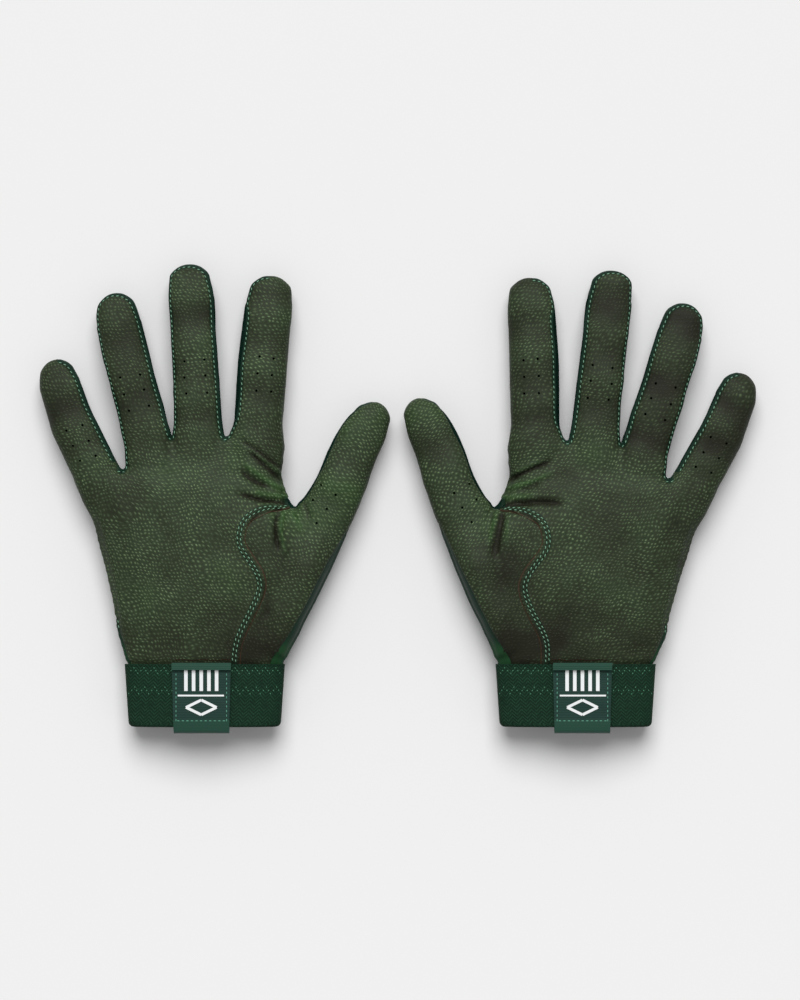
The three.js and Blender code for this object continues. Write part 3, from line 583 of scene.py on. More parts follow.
# Creases of the leather as each glove lies: points in plan, height (negative for a valley), half width.
CREASES = {
    "right": (
        (((42.5, 77.7), (37.5, 78.2), (32.0, 79.0), (26.4, 79.7), (20.8, 81.4), (14.0, 83.6)), -1.9, 1.3),
        (((41.0, 80.8), (33.0, 81.6), (27.0, 82.6), (22.0, 84.6)), 0.9, 1.3),
        (((31.5, 85.6), (27.0, 87.7), (22.5, 89.7), (19.2, 92.3), (16.7, 95.7)), -1.5, 1.3),
        (((39.5, 84.0), (34.8, 85.8), (29.2, 89.2), (25.3, 92.5), (20.9, 96.0), (17.2, 98.8)), 1.3, 1.5),
        (((36.5, 90.0), (33.5, 92.2), (28.5, 96.6), (24.0, 100.6), (20.0, 104.4)), -1.5, 1.3),
        (((37.0, 92.0), (33.0, 95.6), (28.2, 99.4), (24.2, 102.8), (19.0, 106.4)), 1.0, 0.9),
        (((37.0, 95.4), (32.0, 98.4), (27.0, 102.0), (21.6, 105.9), (15.0, 110.0)), -1.3, 1.2),
        (((36.0, 73.6), (34.9, 70.0), (34.5, 66.0), (35.0, 60.0), (36.5, 54.0)), -1.7, 1.2),
        (((38.2, 73.4), (37.2, 69.0), (37.0, 65.0), (37.8, 59.0), (40.0, 51.0)), 1.2, 1.2),
        (((48.0, 78.0), (49.4, 73.6), (51.4, 69.4)), -1.1, 1.2),
        (((43.0, 73.0), (44.5, 68.5), (48.0, 64.0)), 0.7, 1.4),
        # This valley runs along the palm leather's cut edge over the thumb seam; its painted shade stands
        # for the shadow under that edge.
        (((37.4, 74.7), (31.0, 74.4), (26.8, 73.2), (23.4, 70.6), (21.6, 66.0)), -0.9, 0.8),
        (((29.0, 38.0), (31.0, 30.0), (30.0, 20.0)), -0.5, 2.5),
    ),
    "left": (
        (((42.5, 77.2), (35.7, 78.1), (28.4, 79.2), (21.0, 80.3), (14.5, 80.0), (8.0, 79.4)), -2.1, 1.5),
        (((40.5, 80.4), (33.0, 81.6), (27.8, 82.2), (22.0, 84.0)), 0.9, 1.4),
        (((31.7, 85.0), (27.3, 86.7), (21.5, 90.0)), -0.9, 1.1),
        (((37.5, 85.8), (35.1, 86.6), (28.9, 88.5), (22.4, 91.4), (18.0, 94.2), (14.5, 96.7)), 1.3, 1.4),
        (((37.6, 89.8), (36.4, 90.3), (30.6, 93.6), (24.9, 96.5), (19.1, 99.0), (16.2, 101.4)), -1.8, 1.2),
        (((35.6, 92.6), (26.4, 97.5), (19.9, 100.8)), 0.9, 1.1),
        (((39.9, 75.0), (40.3, 69.6), (41.2, 64.4), (42.0, 57.6), (42.8, 50.9)), -1.9, 1.8),
        (((42.0, 74.6), (43.3, 68.8), (44.8, 62.4), (46.0, 56.0)), 1.2, 1.0),
        (((37.3, 70.5), (37.0, 64.0), (37.6, 57.0)), 0.7, 1.1),
        # This valley runs along the palm leather's cut edge over the thumb seam; its painted shade stands
        # for the shadow under that edge.
        (((37.4, 74.7), (31.0, 74.4), (26.8, 73.2), (23.4, 70.6), (21.6, 66.0)), -0.9, 0.8),
    ),
}

# The soft waves along each finger where its joints bend: their length and where they start.
FINGER_WAVES = {
    "index": (24.0, 2.0), "middle": (25.0, 4.7), "ring": (31.0, 1.7), "little": (21.0, 4.4),
    "thumb": (27.0, 0.5),
}
SEEDS = {"right": 3.0, "left": 7.0}

# How much each hand, each finger and some round spots are painted darker and browner below nought, and
# greener above it: partly the dye's own uneven tone, partly painted shade and painted light.
HAND_SHADES = {"right": -0.04, "left": -0.2}
FINGER_SHADES = {"index": -0.22, "middle": -0.3, "ring": -0.42, "little": -0.42, "thumb": 0.15}
SHADED_SPOTS = (
    (38.0, 50.0, 20.0, -0.4), (24.0, 6.0, 20.0, -0.6), (-10.0, 5.0, 24.0, -0.3), (36.0, 84.0, 10.0, 0.3),
    (43.0, 68.0, 12.0, 0.5), (-1.0, 109.0, 9.0, 0.3), (-2.0, 156.0, 9.0, 0.25), (27.0, 149.0, 8.0, 0.2),
    (-42.0, 70.0, 16.0, -0.25), (31.0, 107.0, 7.0, -0.35), (34.0, 11.0, 11.0, -0.45),
)


def ripples(u, v, seed, wavelength):
    """Soft uneven waves, the same on every run, between about -1 and 1."""
    total = np.zeros(len(u))
    for i in range(6):
        angle = seed * 1.7 + i * 2.4
        stretch = wavelength * (0.8 + 0.13 * i)
        total += np.sin((u * cos(angle) + v * sin(angle)) * 2.0 * pi / stretch + seed * 5.1 + i * 1.9)
    return total / 3.0


def fill_layer(bm, name, values):
    layer = layer_of(bm, name)
    for vert, value in zip(bm.verts, values.tolist()):
        vert[layer] = value


def layer_values(bm, name):
    layer = bm.verts.layers.float[name]
    return np.array([vert[layer] for vert in bm.verts])


def bm_points(bm):
    return np.array([vert.co[:] for vert in bm.verts])


def bm_normals(bm):
    bm.normal_update()
    return np.array([vert.normal[:] for vert in bm.verts])


def move_to(bm, points):
    for vert, point in zip(bm.verts, points.tolist()):
        vert.co = point


def mark_surface(bm, seed):
    """Keeps where each point lies on the unrolled leather, in metres, for the materials."""
    points, normals = bm_points(bm), bm_normals(bm)
    tilt = np.arccos(np.clip(normals[:, 2], -1.0, 1.0))
    palm = (1.0 - smoothstep(88.0, 100.0, points[:, 1])) * (1.0 - smoothstep(38.0, 50.0, points[:, 0]))
    radius = 8.0 + 4.0 * palm
    unroll = radius * (tilt / np.maximum(np.sin(tilt), 0.05) - 1.0)
    unroll = np.clip(unroll, 0.0, 30.0)
    layer = bm.verts.layers.float_vector.new("surface")
    u = (points[:, 0] + unroll * normals[:, 0]) * MM
    v = (points[:, 1] + unroll * normals[:, 1]) * MM
    for vert, across, up in zip(bm.verts, u.tolist(), v.tolist()):
        vert[layer] = (across, up, seed)


def folds(points, hand):
    """The heights of worn leather's soft waves and of its creases over the flat hand, and the shade painted
    into the leather's colour with them: painted shade in the waves' troughs and the creases' valleys,
    painted light on their crests and ridges.
    """
    u, v, _z = points.T
    waves = 0.3 * ripples(u, v, SEEDS[hand], 34.0) + 0.12 * ripples(u, v, SEEDS[hand] + 1.0, 13.0)
    for name, (wavelength, start) in FINGER_WAVES.items():
        along, aside = along_finger(name, u, v)
        own = smoothstep(2.0, 14.0, along) * (np.abs(aside) < FINGERS[name][3] / 2 + 3.0)
        waves += 0.38 * own * np.sin(along * 2.0 * pi / wavelength + start + SEEDS[hand])
    creases, shade = np.zeros(len(u)), waves * 0.45
    for line, height, half_width in CREASES[hand]:
        away, share = from_line(rounded(line), u, v)
        fade = height * (0.5 + 0.5 * smoothstep(0.0, 0.15, share)) * (1.0 - smoothstep(0.72, 1.0, share))
        creases += fade * np.exp(-((away / half_width) ** 2))
        shade += 0.75 * fade * np.exp(-((away / half_width / 0.8) ** 2))
    return waves + creases, shade


def dye_tone_and_painted_shade(points, hand):
    """How much the leather is painted darker and browner below nought, and greener above it, over the flat
    hand: partly the dye's own uneven tone, partly painted shade and painted light.
    """
    u, v, _z = points.T
    shade = np.full(len(u), HAND_SHADES[hand])
    for name, change in FINGER_SHADES.items():
        along, aside = along_finger(name, u, v)
        shade += change * smoothstep(-4.0, 16.0, along) * (1.0 - smoothstep(8.0, 16.0, np.abs(aside)))
    for spot_u, spot_v, reach, change in SHADED_SPOTS:
        shade += change * np.exp(-(np.hypot(u - spot_u, v - spot_v) / reach) ** 2)
    return shade


def dipped(bm, reach, depth, where):
    """Turns the borders of a piece down into its seams, where a test of the point says so."""
    border = [vert for vert in bm.verts if vert.is_boundary and where(vert.co)]
    if not border:
        return
    tree = kdtree.KDTree(len(border))
    for i, vert in enumerate(border):
        tree.insert(vert.co, i)
    tree.balance()
    bm.normal_update()
    moves = []
    for vert in bm.verts:
        away = tree.find(vert.co)[2]
        if away < reach:
            moves.append((vert, vert.normal * (-depth * (1.0 - away / reach) ** 2)))
    for vert, move in moves:
        vert.co += move


def lipped(bm):
    """Lays the leather's sewn edges out flat as a lip beyond the stitches."""
    points = bm_points(bm)
    row, rolled = layer_values(bm, "row"), layer_values(bm, "rolled")
    u, v, z = points.T
    ring = (row > -0.3) & (row < 0.9) & (z > 0.0)
    tree = kdtree.KDTree(int(ring.sum()))
    for i in np.nonzero(ring)[0]:
        tree.insert((u[i], v[i], 0.0), int(i))
    tree.balance()
    for i in np.nonzero((row < 0.0) & (z > -1.0) & (rolled < 0.98))[0]:
        nearest = [index for _place, index, _away in tree.find_n((u[i], v[i], 0.0), 10)]
        lip = np.mean(z[nearest] - 0.75 * row[nearest]) + 0.75 * row[i]
        points[i, 2] += max(lip - z[i], 0.0) * (1.0 - rolled[i])
    move_to(bm, points)


def tucked_in(points):
    """Draws the wrist in, where it goes down into the cuff."""
    inside = 1.0 - smoothstep(-2.0, -0.4, points[:, 1])
    points[:, 0] *= 1.0 - 0.025 * inside
    points[:, 2] *= 1.0 - 0.05 * inside
    return points


def punched(bm, holes, radius):
    """Cuts small round holes, after making the mesh finer round each."""
    for u, v in holes:
        near = {
            vert for vert in bm.verts
            if abs(vert.co.x - u) < 2.0 and abs(vert.co.y - v) < 2.0 and vert.normal.z > 0.2
        }
        edges = {edge for vert in near for edge in vert.link_edges if edge.other_vert(vert) in near}
        edges = sorted(edges, key=lambda edge: edge.index)
        bmesh.ops.subdivide_edges(bm, edges=edges, cuts=3, use_grid_fill=True)
    hole = layer_of(bm, "hole")
    centres = kdtree.KDTree(len(holes))
    for i, (u, v) in enumerate(holes):
        centres.insert((u, v, 0.0), i)
    centres.balance()
    bm.normal_update()
    for vert in bm.verts:
        away = centres.find((vert.co.x, vert.co.y, 0.0))[2]
        vert[hole] = away - radius if vert.normal.z > 0.2 else radius
    keep_inside(bm, hole)


def joined(obj, body, slot=None, node=None):
    """Says which body a piece moves with and the node that it is seen in place of. The material slot is not
    used.
    """
    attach(obj, body)
    if node:
        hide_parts(node)


def shown(name, bm):
    obj = bpy.data.objects.new(name, mesh_of(bm, name))
    bpy.context.scene.collection.objects.link(obj)
    return obj


def placed(name, bm, hand, thickness, slot, node=None):
    """Lays a flat piece where its glove lies and gives it a wall, sharp rims and its body."""
    obj = shown(f"{hand}_{name}", bm)
    mesh = obj.data
    write_points(mesh, laid(read_points(mesh), hand))
    if hand == "left":
        mesh.flip_normals()
    wall = obj.modifiers.new("wall", "SOLIDIFY")
    wall.thickness = thickness * MM
    wall.offset = -1.0
    wall.use_even_offset = False
    solid = evaluated(obj)
    obj.modifiers.clear()
    obj.data = solid
    bpy.data.meshes.remove(mesh)
    finished(obj)
    joined(obj, f"{hand}_glove", slot, f"{hand}_{node}" if node else None)
    return obj


def finished(obj):
    obj.data.name = obj.name
    obj.data.shade_smooth()
    obj.data.set_sharp_from_angle(angle=radians(48.0))


# The pieces of one hand, cut once from the skin and shaped for each glove

class Pattern:
    """The flat pieces that one hand is sewn from."""

    def __init__(self):
        skin = Skin()
        self.skin = skin
        facts = skin.facts
        u, v, z = skin.points.T
        edge, front, lap = skin.edge, facts["front"], facts["lap"]
        fingers, owned, on_thumb = facts["fingers"], facts["owned"], facts["on_thumb"]
        self.pieces = {}
        wrist = v + 8.0
        self.pieces["palm_leather"] = part_of(skin, [wrist, front, facts["lap_edge"] - lap])
        self.pieces["thumb_leather"] = part_of(skin, [wrist, front, lap + UNDERLAP])

        # Each finger's back comes up to the leather's edge at the tip, as the strips run out in a point.
        back = -front
        lows = {}
        for name in LONG_FINGERS:
            stop = FINGERS[name][2] - TIP_SETBACK
            tip = smoothstep(stop - POINT_LENGTH, stop, fingers[name][0])
            low = np.where(front > 0.0, -front, (ROLLED_EDGE - z) * (1.0 - tip) + back * tip)
            lows[name] = np.minimum(low, back) + UNDERLAP * tip * smoothstep(0.5, 2.0, z)
        stop = FINGERS["thumb"][2] - THUMB_SETBACK
        tip = smoothstep(stop - POINT_LENGTH, stop, fingers["thumb"][0])
        thumb_low = np.minimum((ROLLED_EDGE - z) * (1.0 - tip) + back * tip, back)
        thumb_low = thumb_low + UNDERLAP * tip * smoothstep(0.5, 2.0, z)

        # The strips between the fingers reach up under the leather's edges.
        below = np.where(
            facts["short"] > 0.05, np.maximum(STRIP_TOP - z, facts["short"] + 1.8 - edge), STRIP_TOP - z)
        for towards_thumb, towards_pinky in FINGER_PAIRS:
            side = np.where(
                owned[towards_thumb], -fingers[towards_thumb][1],
                np.where(owned[towards_pinky], fingers[towards_pinky][1], -1.0),
            )
            stop = np.where(
                owned[towards_thumb],
                FINGERS[towards_thumb][2] - TIP_SETBACK - fingers[towards_thumb][0],
                FINGERS[towards_pinky][2] - TIP_SETBACK - fingers[towards_pinky][0],
            )
            above = np.where(owned[towards_thumb], -lows[towards_thumb], -lows[towards_pinky])
            keep = (side > -1.0) & (v > 80.0) & ~on_thumb
            name = f"{towards_thumb}_{towards_pinky}_fourchette"
            self.pieces[name] = part_of(skin, [above, below, stop], keep)
        gusset_keep = (
            (u > 26.0) & (v < 83.0) & (v > 62.0) & (fingers["thumb"][1] < 1.0)
            | on_thumb & (fingers["thumb"][1] < 1.0) & (v > 62.0)
        )
        thumb_stop = FINGERS["thumb"][2] - THUMB_SETBACK - fingers["thumb"][0]
        above = np.where(on_thumb & (front <= 0.0), -thumb_low, z - ROLLED_EDGE)
        self.pieces["thumb_gusset"] = part_of(
            skin, [above, STRIP_TOP - z, thumb_stop, 82.0 - v + 100.0 * on_thumb],
            gusset_keep & (np.abs(edge) < 12.0))

        # The back: each finger, the stretch panel over the knuckles, the back of the hand, the thumb.
        knuckle_line = [(-120.0, 77.0), (-52.5, 92.9 - KNUCKLE_DROP)]
        for a, b in reversed(FINGER_PAIRS):
            knuckle_line.append((
                (FINGERS[a][0] + FINGERS[b][0]) / 2,
                (FINGERS[a][1] + FINGERS[b][1]) / 2 - KNUCKLE_DROP,
            ))
        knuckle_line.append((44.0, 109.1 - KNUCKLE_DROP))
        knuckle_line.append((80.0, 112.0))
        line = rounded(knuckle_line)
        above_knuckles = -from_line(line, u, v)[0]
        below_line = [(across, up - KNUCKLE_HEIGHT) for across, up in line]
        self.back_rows = [
            [(across, up + ROW_FROM_SEAM, 0.0) for across, up in line],
            [(across, up - ROW_FROM_SEAM, 0.0) for across, up in below_line],
        ]
        above_panel = -from_line(below_line, u, v)[0]
        under_leather = np.where(z > 1.5, UNDERLAP, 0.0)
        for name in LONG_FINGERS:
            others = np.min([facts["apart"][other] for other in LONG_FINGERS if other != name], axis=0)
            self.pieces[f"{name}_back"] = part_of(
                skin, [lows[name], above_knuckles, others - facts["apart"][name]], ~on_thumb)
        low = np.minimum(ROLLED_EDGE - z, back)
        self.pieces["knuckle_panel"] = part_of(skin, [low, -above_knuckles, above_panel], ~on_thumb)
        slit = (np.hypot(u / 3.5, np.maximum(v, 0.0) / 24.0) - 1.0) * 3.5
        slit = np.where(z > -2.0, 5.0, slit)
        vent = smoothstep(SIDE_VENT + 2.0, SIDE_VENT, v) + (u > 0.0)
        hand_low = np.where(vent > 0.5, back + under_leather, low)
        beside_thumb = np.where(on_thumb, THUMB_SEAM_UP - v, 5.0)
        self.pieces["backhand_panel"] = part_of(skin, [wrist, hand_low, -above_panel, slit, beside_thumb])
        self.pieces["thumb_back"] = part_of(skin, [thumb_low, v - THUMB_SEAM_UP], on_thumb)


patterns = {}
leather_trees = {hand: [] for hand in HANDS}
back_trees = {hand: [] for hand in HANDS}


def pattern():
    """The one pattern that both gloves are sewn from, worked out once."""
    if not patterns:
        patterns["hand"] = Pattern()
    return patterns["hand"]


def leather_shape(name, hand):
    """One leather piece of a glove, shaped but not yet laid."""
    bm = pattern().pieces[name].copy()
    mark_surface(bm, SEEDS[hand])
    lipped(bm)
    evened(bm, 3)
    normals = bm_normals(bm)
    points = bm_points(bm)
    lap, lap_edge = layer_values(bm, "lap"), layer_values(bm, "lap_edge")
    if name == "palm_leather":
        lift = LAP_RISE * smoothstep(lap_edge - 5.5, lap_edge - 3.0, lap)
    else:
        lift = -LAP_DROP * (1.0 - smoothstep(lap_edge - 0.5, lap_edge + 1.0, lap))
    rise, shade = folds(points, hand)
    rise *= smoothstep(0.0, 0.6, normals[:, 2])
    fill_layer(bm, "shade", shade + dye_tone_and_painted_shade(points, hand))
    points = points + normals * (lift + rise).reshape(-1, 1)
    points = tucked_in(points)
    move_to(bm, points)
    rolled = bm.verts.layers.float["rolled"]
    turned = {tuple(vert.co) for vert in bm.verts if vert.is_boundary and vert[rolled] > 0.5}
    dipped(bm, DIP_REACH, LEATHER_DIP, lambda co: tuple(co) in turned)
    punched(bm, AIR_HOLES if name == "palm_leather" else THUMB_HOLES,
            bpy.context.scene.glove_sizes.hole_diameter / 2 / MM)
    return bm


def back_shape(name, hand):
    """One piece of the back, the fingers' sides or the knuckles, with its borders turned into the seams."""
    bm = pattern().pieces[name].copy()
    mark_surface(bm, SEEDS[hand])
    points, normals = bm_points(bm), bm_normals(bm)
    u, v, z = points.T
    under_leather = smoothstep(1.2, 2.4, z) * 0.75
    swell = np.zeros(len(u))
    if name == "knuckle_panel":
        swell += 0.5
    swell += 0.22 * ripples(u, v, SEEDS[hand] + 2.0, 24.0) * (np.abs(normals[:, 2]) > 0.3)
    points = points + normals * (swell - under_leather).reshape(-1, 1)
    points = tucked_in(points)
    points[:, 2] = np.maximum(points[:, 2], -MID_HEIGHT + 0.1 + droop(u, v))
    move_to(bm, points)
    if name == "backhand_panel":
        fill_layer(bm, "wrist", (1.0 - smoothstep(7.0, 13.0, v)) * smoothstep(0.0, 3.0, z))
    dipped(bm, DIP_REACH, BACK_DIP, lambda co: co.z < 1.5)
    return bm


def lines_where_nought(values, keep):
    """The lines on the flat skin where a value is nought, as lists of points, each in order."""
    bm = pattern().skin.bm.copy()
    fill_layer(bm, "line", values)
    layer = layer_of(bm, "line")
    kept = (keep & (np.abs(values) < FAR_OUTSIDE)).tolist()
    doomed = [vert for vert, stays in zip(bm.verts, kept) if not stays]
    bmesh.ops.delete(bm, geom=doomed, context="VERTS")
    keep_inside(bm, layer)
    joined = {}
    for edge in bm.edges:
        if edge.is_boundary and edge.verts[0][layer] == 0.0 and edge.verts[1][layer] == 0.0:
            for vert in edge.verts:
                joined.setdefault(vert, []).append(edge.other_vert(vert))
    lines, seen = [], set()
    starts = [vert for vert, others in joined.items() if len(others) == 1] + list(joined)
    for start in starts:
        if start in seen:
            continue
        line, here = [], start
        while here is not None:
            seen.add(here)
            line.append(here.co.copy())
            here = next((other for other in joined[here] if other not in seen), None)
        lines.append(line)
    bm.free()
    return lines


def spaced(line, pitch, start_at=0.5):
    """Points at an even pitch along a line, each with its direction."""
    result = []
    left = pitch * start_at
    for start, end in zip(line, line[1:]):
        run = (end - start).length
        while run > 0.0 and left <= run:
            result.append((start.lerp(end, left / run), (end - start).normalized()))
            left += pitch
        left -= run
    return result


def smoothed(line, rounds=6):
    line = [Vector(point) for point in line]
    for _ in range(rounds):
        line[1:-1] = [
            (before + 2.0 * here + after) / 4.0
            for before, here, after in zip(line, line[1:], line[2:])
        ]
    return line


def stitch_lines(hand):
    """The rows of stitches on the palm side, as lines of flat points."""
    skin = pattern().skin
    facts = skin.facts
    u, v, z = skin.points.T
    front = (z > 1.0) & (skin.normals[:, 2] > 0.0)
    fingers = front & ~facts["on_thumb"] & (facts["rolled"] < 0.45) & (v > 88.0) & (skin.edge < 5.0)
    lines = lines_where_nought(facts["row"], fingers)
    lap, spread = facts["lap"], facts["spread"]
    seam = front & (np.abs(lap) < 6.0) & (u < 41.0) & (v > 0.5)
    for side in (-DOUBLE_ROW_HALF, DOUBLE_ROW_HALF):
        lines += lines_where_nought(lap - side * spread, seam)
    vent = front & (u < -20.0) & (v < SIDE_VENT - 1.0) & (v > 0.5)
    lines += lines_where_nought(skin.edge - 1.1, vent & (skin.edge < 4.0))
    return [line for line in lines if len(line) > 3]


def stitch_shape(length, width, height):
    bm = bmesh.new()
    bmesh.ops.create_uvsphere(bm, u_segments=6, v_segments=4, radius=0.5)
    bmesh.ops.rotate(bm, verts=bm.verts, matrix=Matrix.Rotation(pi / 2, 3, "Y"))
    bmesh.ops.scale(bm, verts=bm.verts, vec=(length, width, height))
    return mesh_of(bm, "stitch")


def turned_to(place, direction, normal, slant=0.0):
    """A matrix that puts X along a direction and Z along a normal, with a slant about it."""
    across = normal.cross(direction).normalized()
    direction = across.cross(normal).normalized()
    turn = Matrix((direction, across, normal)).transposed() @ Matrix.Rotation(slant, 3, "Z")
    return Matrix.Translation(place) @ turn.to_4x4()


def sewn_places(places, trees, hand, slant=0.0, side=1.0):
    """Where stitches sit on the outermost of some surfaces, from flat places with directions. The side
    is 1 for the palm and -1 for the back."""
    matrices = []
    for place, direction in places:
        start, aim = Vector((place.x, place.y, side * ABOVE)), Vector((0.0, 0.0, -side))
        hits = [tree.ray_cast(start, aim) for tree in trees]
        hits = [hit for hit in hits if hit[0] is not None]
        if not hits:
            continue
        spot, normal = max(hits, key=lambda hit: side * hit[0].z)[:2]
        if side * normal.z < 0.15:
            continue
        run = (direction - normal * direction.dot(normal)).normalized()
        here, ahead, above = (Vector(point) for point in laid([spot, spot + run, spot + normal], hand))
        matrices.append(turned_to(here, ahead - here, (above - here).normalized(), slant))
    return matrices


def sewn(name, hand, shape, matrices, finish, slot):
    """Makes one piece from a row of like stitches, each put in its place."""
    bm = bmesh.new()
    for matrix in matrices:
        stitch = shape.copy()
        stitch.transform(matrix)
        bm.from_mesh(stitch)
        bpy.data.meshes.remove(stitch)
    obj = shown(f"{hand}_{name}", bm)
    obj.data.shade_smooth()
    dressed(obj, finish)
    joined(obj, f"{hand}_glove", slot)


# Materials

def srgb(code):
    """Turns an sRGB hex colour into the linear one that a shader takes."""
    channels = [int(code[i:i + 2], 16) / 255.0 for i in (1, 3, 5)]
    return tuple(c / 12.92 if c <= 0.04045 else ((c + 0.055) / 1.055) ** 2.4 for c in channels) + (1.0,)


def toned(colour, factor):
    return tuple(channel * factor for channel in colour[:3]) + (1.0,)


def add(tree, kind, *values, out=0, **named):
    """Adds a node and gives back an output. Values go to its inputs in order, and a named value is the
    node's own setting of that name or goes to the input of that name. Other nodes' outputs are linked."""
    node = tree.nodes.new(f"ShaderNode{kind}")
    settings = [name for name in named if hasattr(node, name)]
    for name in settings:
        setattr(node, name, named.pop(name))
    fed = list(zip(node.inputs, values))
    fed += [(node.inputs[name.replace("_", " ")], value) for name, value in named.items()]
    for socket, value in fed:
        if isinstance(value, bpy.types.NodeSocket):
            tree.links.new(value, socket)
        else:
            socket.default_value = value
    return node.outputs[out] if node.outputs else None


def surface(node, colour, relief, roughness, specular=0.12, sheen=0.0):
    """Ends a material: its colour, its relief in metres and its gloss."""
    normal = node("Bump", Height=relief, Distance=1.0, Strength=1.0)
    shader = node("BsdfPrincipled", Base_Color=colour, Roughness=roughness, Normal=normal,
                  Specular_IOR_Level=specular, Sheen_Weight=sheen)
    node("OutputMaterial", Surface=shader)


# The flecks' rows wander: how fine each drift is, and its reach in metres.
FLECK_DRIFTS = ((36.0, 0.009), (150.0, 0.0026))
FLECK_RELIEF = 0.0002
GRAIN_RELIEF = 0.00005
GROOVE_RELIEF = -0.00022

# The weaves, in metres: the herringbone's turns, ribs and threads, and the webbing's ribs. The webbing
# is one strip that is folded over beyond the part that is sewn flat, and there it is painted lighter as
# painted light on the fold.
HERRINGBONE_TURN = 0.0024
HERRINGBONE_RIB = 0.0017
HERRINGBONE_THREAD = 0.0009
HERRINGBONE_RELIEF = 0.00022
WEBBING_RIB = 0.0008
WEBBING_RELIEF = 0.00006
WEBBING_MIDDLE = 0.0172
WEBBING_FLAT = (0.0121, 0.0126)
TWIST_RELIEF = 0.00005
PRINT_RELIEF = 0.00004


def goat_leather(node, sizes, colours):
    """Soft tanned leather with a raised fleck pressed into it for grip, in wavy staggered rows. The flecks'
    pale colour is partly their own and partly a painted highlight on their raised tops, and the pits
    between them are painted dark as painted shadow.
    """
    place = node("Attribute", attribute_name="surface", out="Vector")
    bent = place
    for scale, reach in FLECK_DRIFTS:
        drift = node("TexNoise", Vector=place, Scale=scale, Detail=1.0, Roughness=0.4, out="Color")
        drift = node("VectorMath", drift, (0.5, 0.5, 0.5), operation="SUBTRACT")
        drift = node("VectorMath", drift, Scale=reach, operation="SCALE")
        bent = node("VectorMath", bent, drift, operation="ADD")
    bent_across, bent_up = node("SeparateXYZ", bent, out=slice(2))
    up = node("Math", bent_up, 1.0 / sizes.fleck_row, operation="MULTIPLY")
    shift = node("Math", up, 0.5, operation="MULTIPLY")
    across = node("Math", bent_across, 1.0 / sizes.fleck_spacing, shift, operation="MULTIPLY_ADD")
    grid = node("CombineXYZ", across, up)
    from_fleck, chance = node("TexVoronoi", Vector=grid, Scale=1.0, Randomness=0.42,
                              voronoi_dimensions="2D", out=slice(2))
    chance = node("SeparateXYZ", chance)
    strength = node("MapRange", chance, To_Min=0.35, To_Max=0.95)
    worn = node("TexNoise", Vector=place, Scale=85.0, Detail=2.0)
    worn = node("MapRange", worn, From_Min=0.35, From_Max=0.6, To_Min=0.4)
    strength = node("Math", strength, worn, operation="MULTIPLY")
    # Each fleck is painted pale, partly its own colour and partly a painted highlight on its raised top.
    fleck = node("MapRange", from_fleck, From_Min=0.32, From_Max=0.08)
    fleck = node("Math", fleck, strength, operation="MULTIPLY")
    # Between the flecks the leather is painted dark as painted shadow round each fleck, with the fine
    # grain's own dark specks added.
    grain_and_pit_shade = node("MapRange", from_fleck, From_Min=0.36, From_Max=0.7, To_Max=0.3)
    fine = node("TexNoise", Vector=place, Scale=1100.0, Detail=3.0)
    grain = node("MapRange", fine, From_Min=0.4, From_Max=0.7, To_Max=0.35)
    grain_and_pit_shade = node("Math", grain_and_pit_shade, grain, operation="ADD")

    # The dye is uneven in greener and browner patches a few centimetres wide. The shade layer adds painted
    # shade, browner, in the folds and shaded spots, and painted light, greener, on ridges and lit spots.
    patches = node("TexNoise", Vector=place, Scale=45.0, Detail=3.0, Roughness=0.55)
    patches = node("Math", patches, 0.5, operation="SUBTRACT")
    shade = node("Attribute", attribute_name="shade", out="Fac")
    tint = node("Math", patches, 1.1, shade, operation="MULTIPLY_ADD")
    # Greener is partly the dye's patches, partly painted light; browner is partly the dye's patches, partly
    # painted shade.
    greener = node("MapRange", tint, From_Min=0.0, From_Max=0.8)
    browner = node("MapRange", tint, From_Min=0.0, From_Max=-0.9, To_Max=0.9)

    # Each row of stitches lies in a groove, and the leather along it is painted dark green as painted shade
    # in that groove. Beyond the outer row the leather's edge is painted darker and bluer, as painted shade
    # on that edge.
    beyond = node("Attribute", attribute_name="row", out="Fac")
    rolled = node("Attribute", attribute_name="rolled", out="Fac")
    sewn_side = node("MapRange", rolled, From_Min=0.5, From_Max=0.1)
    rim_shade = node("MapRange", beyond, From_Min=0.3, From_Max=-0.3)
    rim_shade = node("Math", rim_shade, sewn_side, operation="MULTIPLY")
    near_row = node("Math", beyond, operation="ABSOLUTE")
    near_row = node("MapRange", near_row, From_Min=0.85, From_Max=0.3)
    near_row = node("Math", near_row, sewn_side, operation="MULTIPLY")
    lap = node("Attribute", attribute_name="lap", out="Fac")
    from_middle = node("Math", lap, operation="ABSOLUTE")
    spread = node("Attribute", attribute_name="spread", out="Fac")
    from_row = node("Math", spread, -DOUBLE_ROW_HALF, from_middle, operation="MULTIPLY_ADD")
    from_row = node("Math", from_row, operation="ABSOLUTE")
    on_seam = node("MapRange", from_row, From_Min=0.85, From_Max=0.35)
    groove = node("Math", near_row, on_seam, operation="MAXIMUM")
    # The dark green band along each row is painted shade in the row's groove.
    groove_shade = node("Math", groove, 0.65, operation="MULTIPLY")
    # The thin line along the palm leather's cut edge over the thumb seam is partly the raw edge's own brown
    # and partly painted shadow on the thumb leather just under that edge.
    lap_edge = node("Attribute", attribute_name="lap_edge", out="Fac")
    from_cut = node("Math", lap_edge, lap, operation="SUBTRACT")
    from_cut = node("Math", from_cut, operation="ABSOLUTE")
    cut = node("MapRange", from_cut, From_Min=0.45, From_Max=0.15, To_Max=0.8)

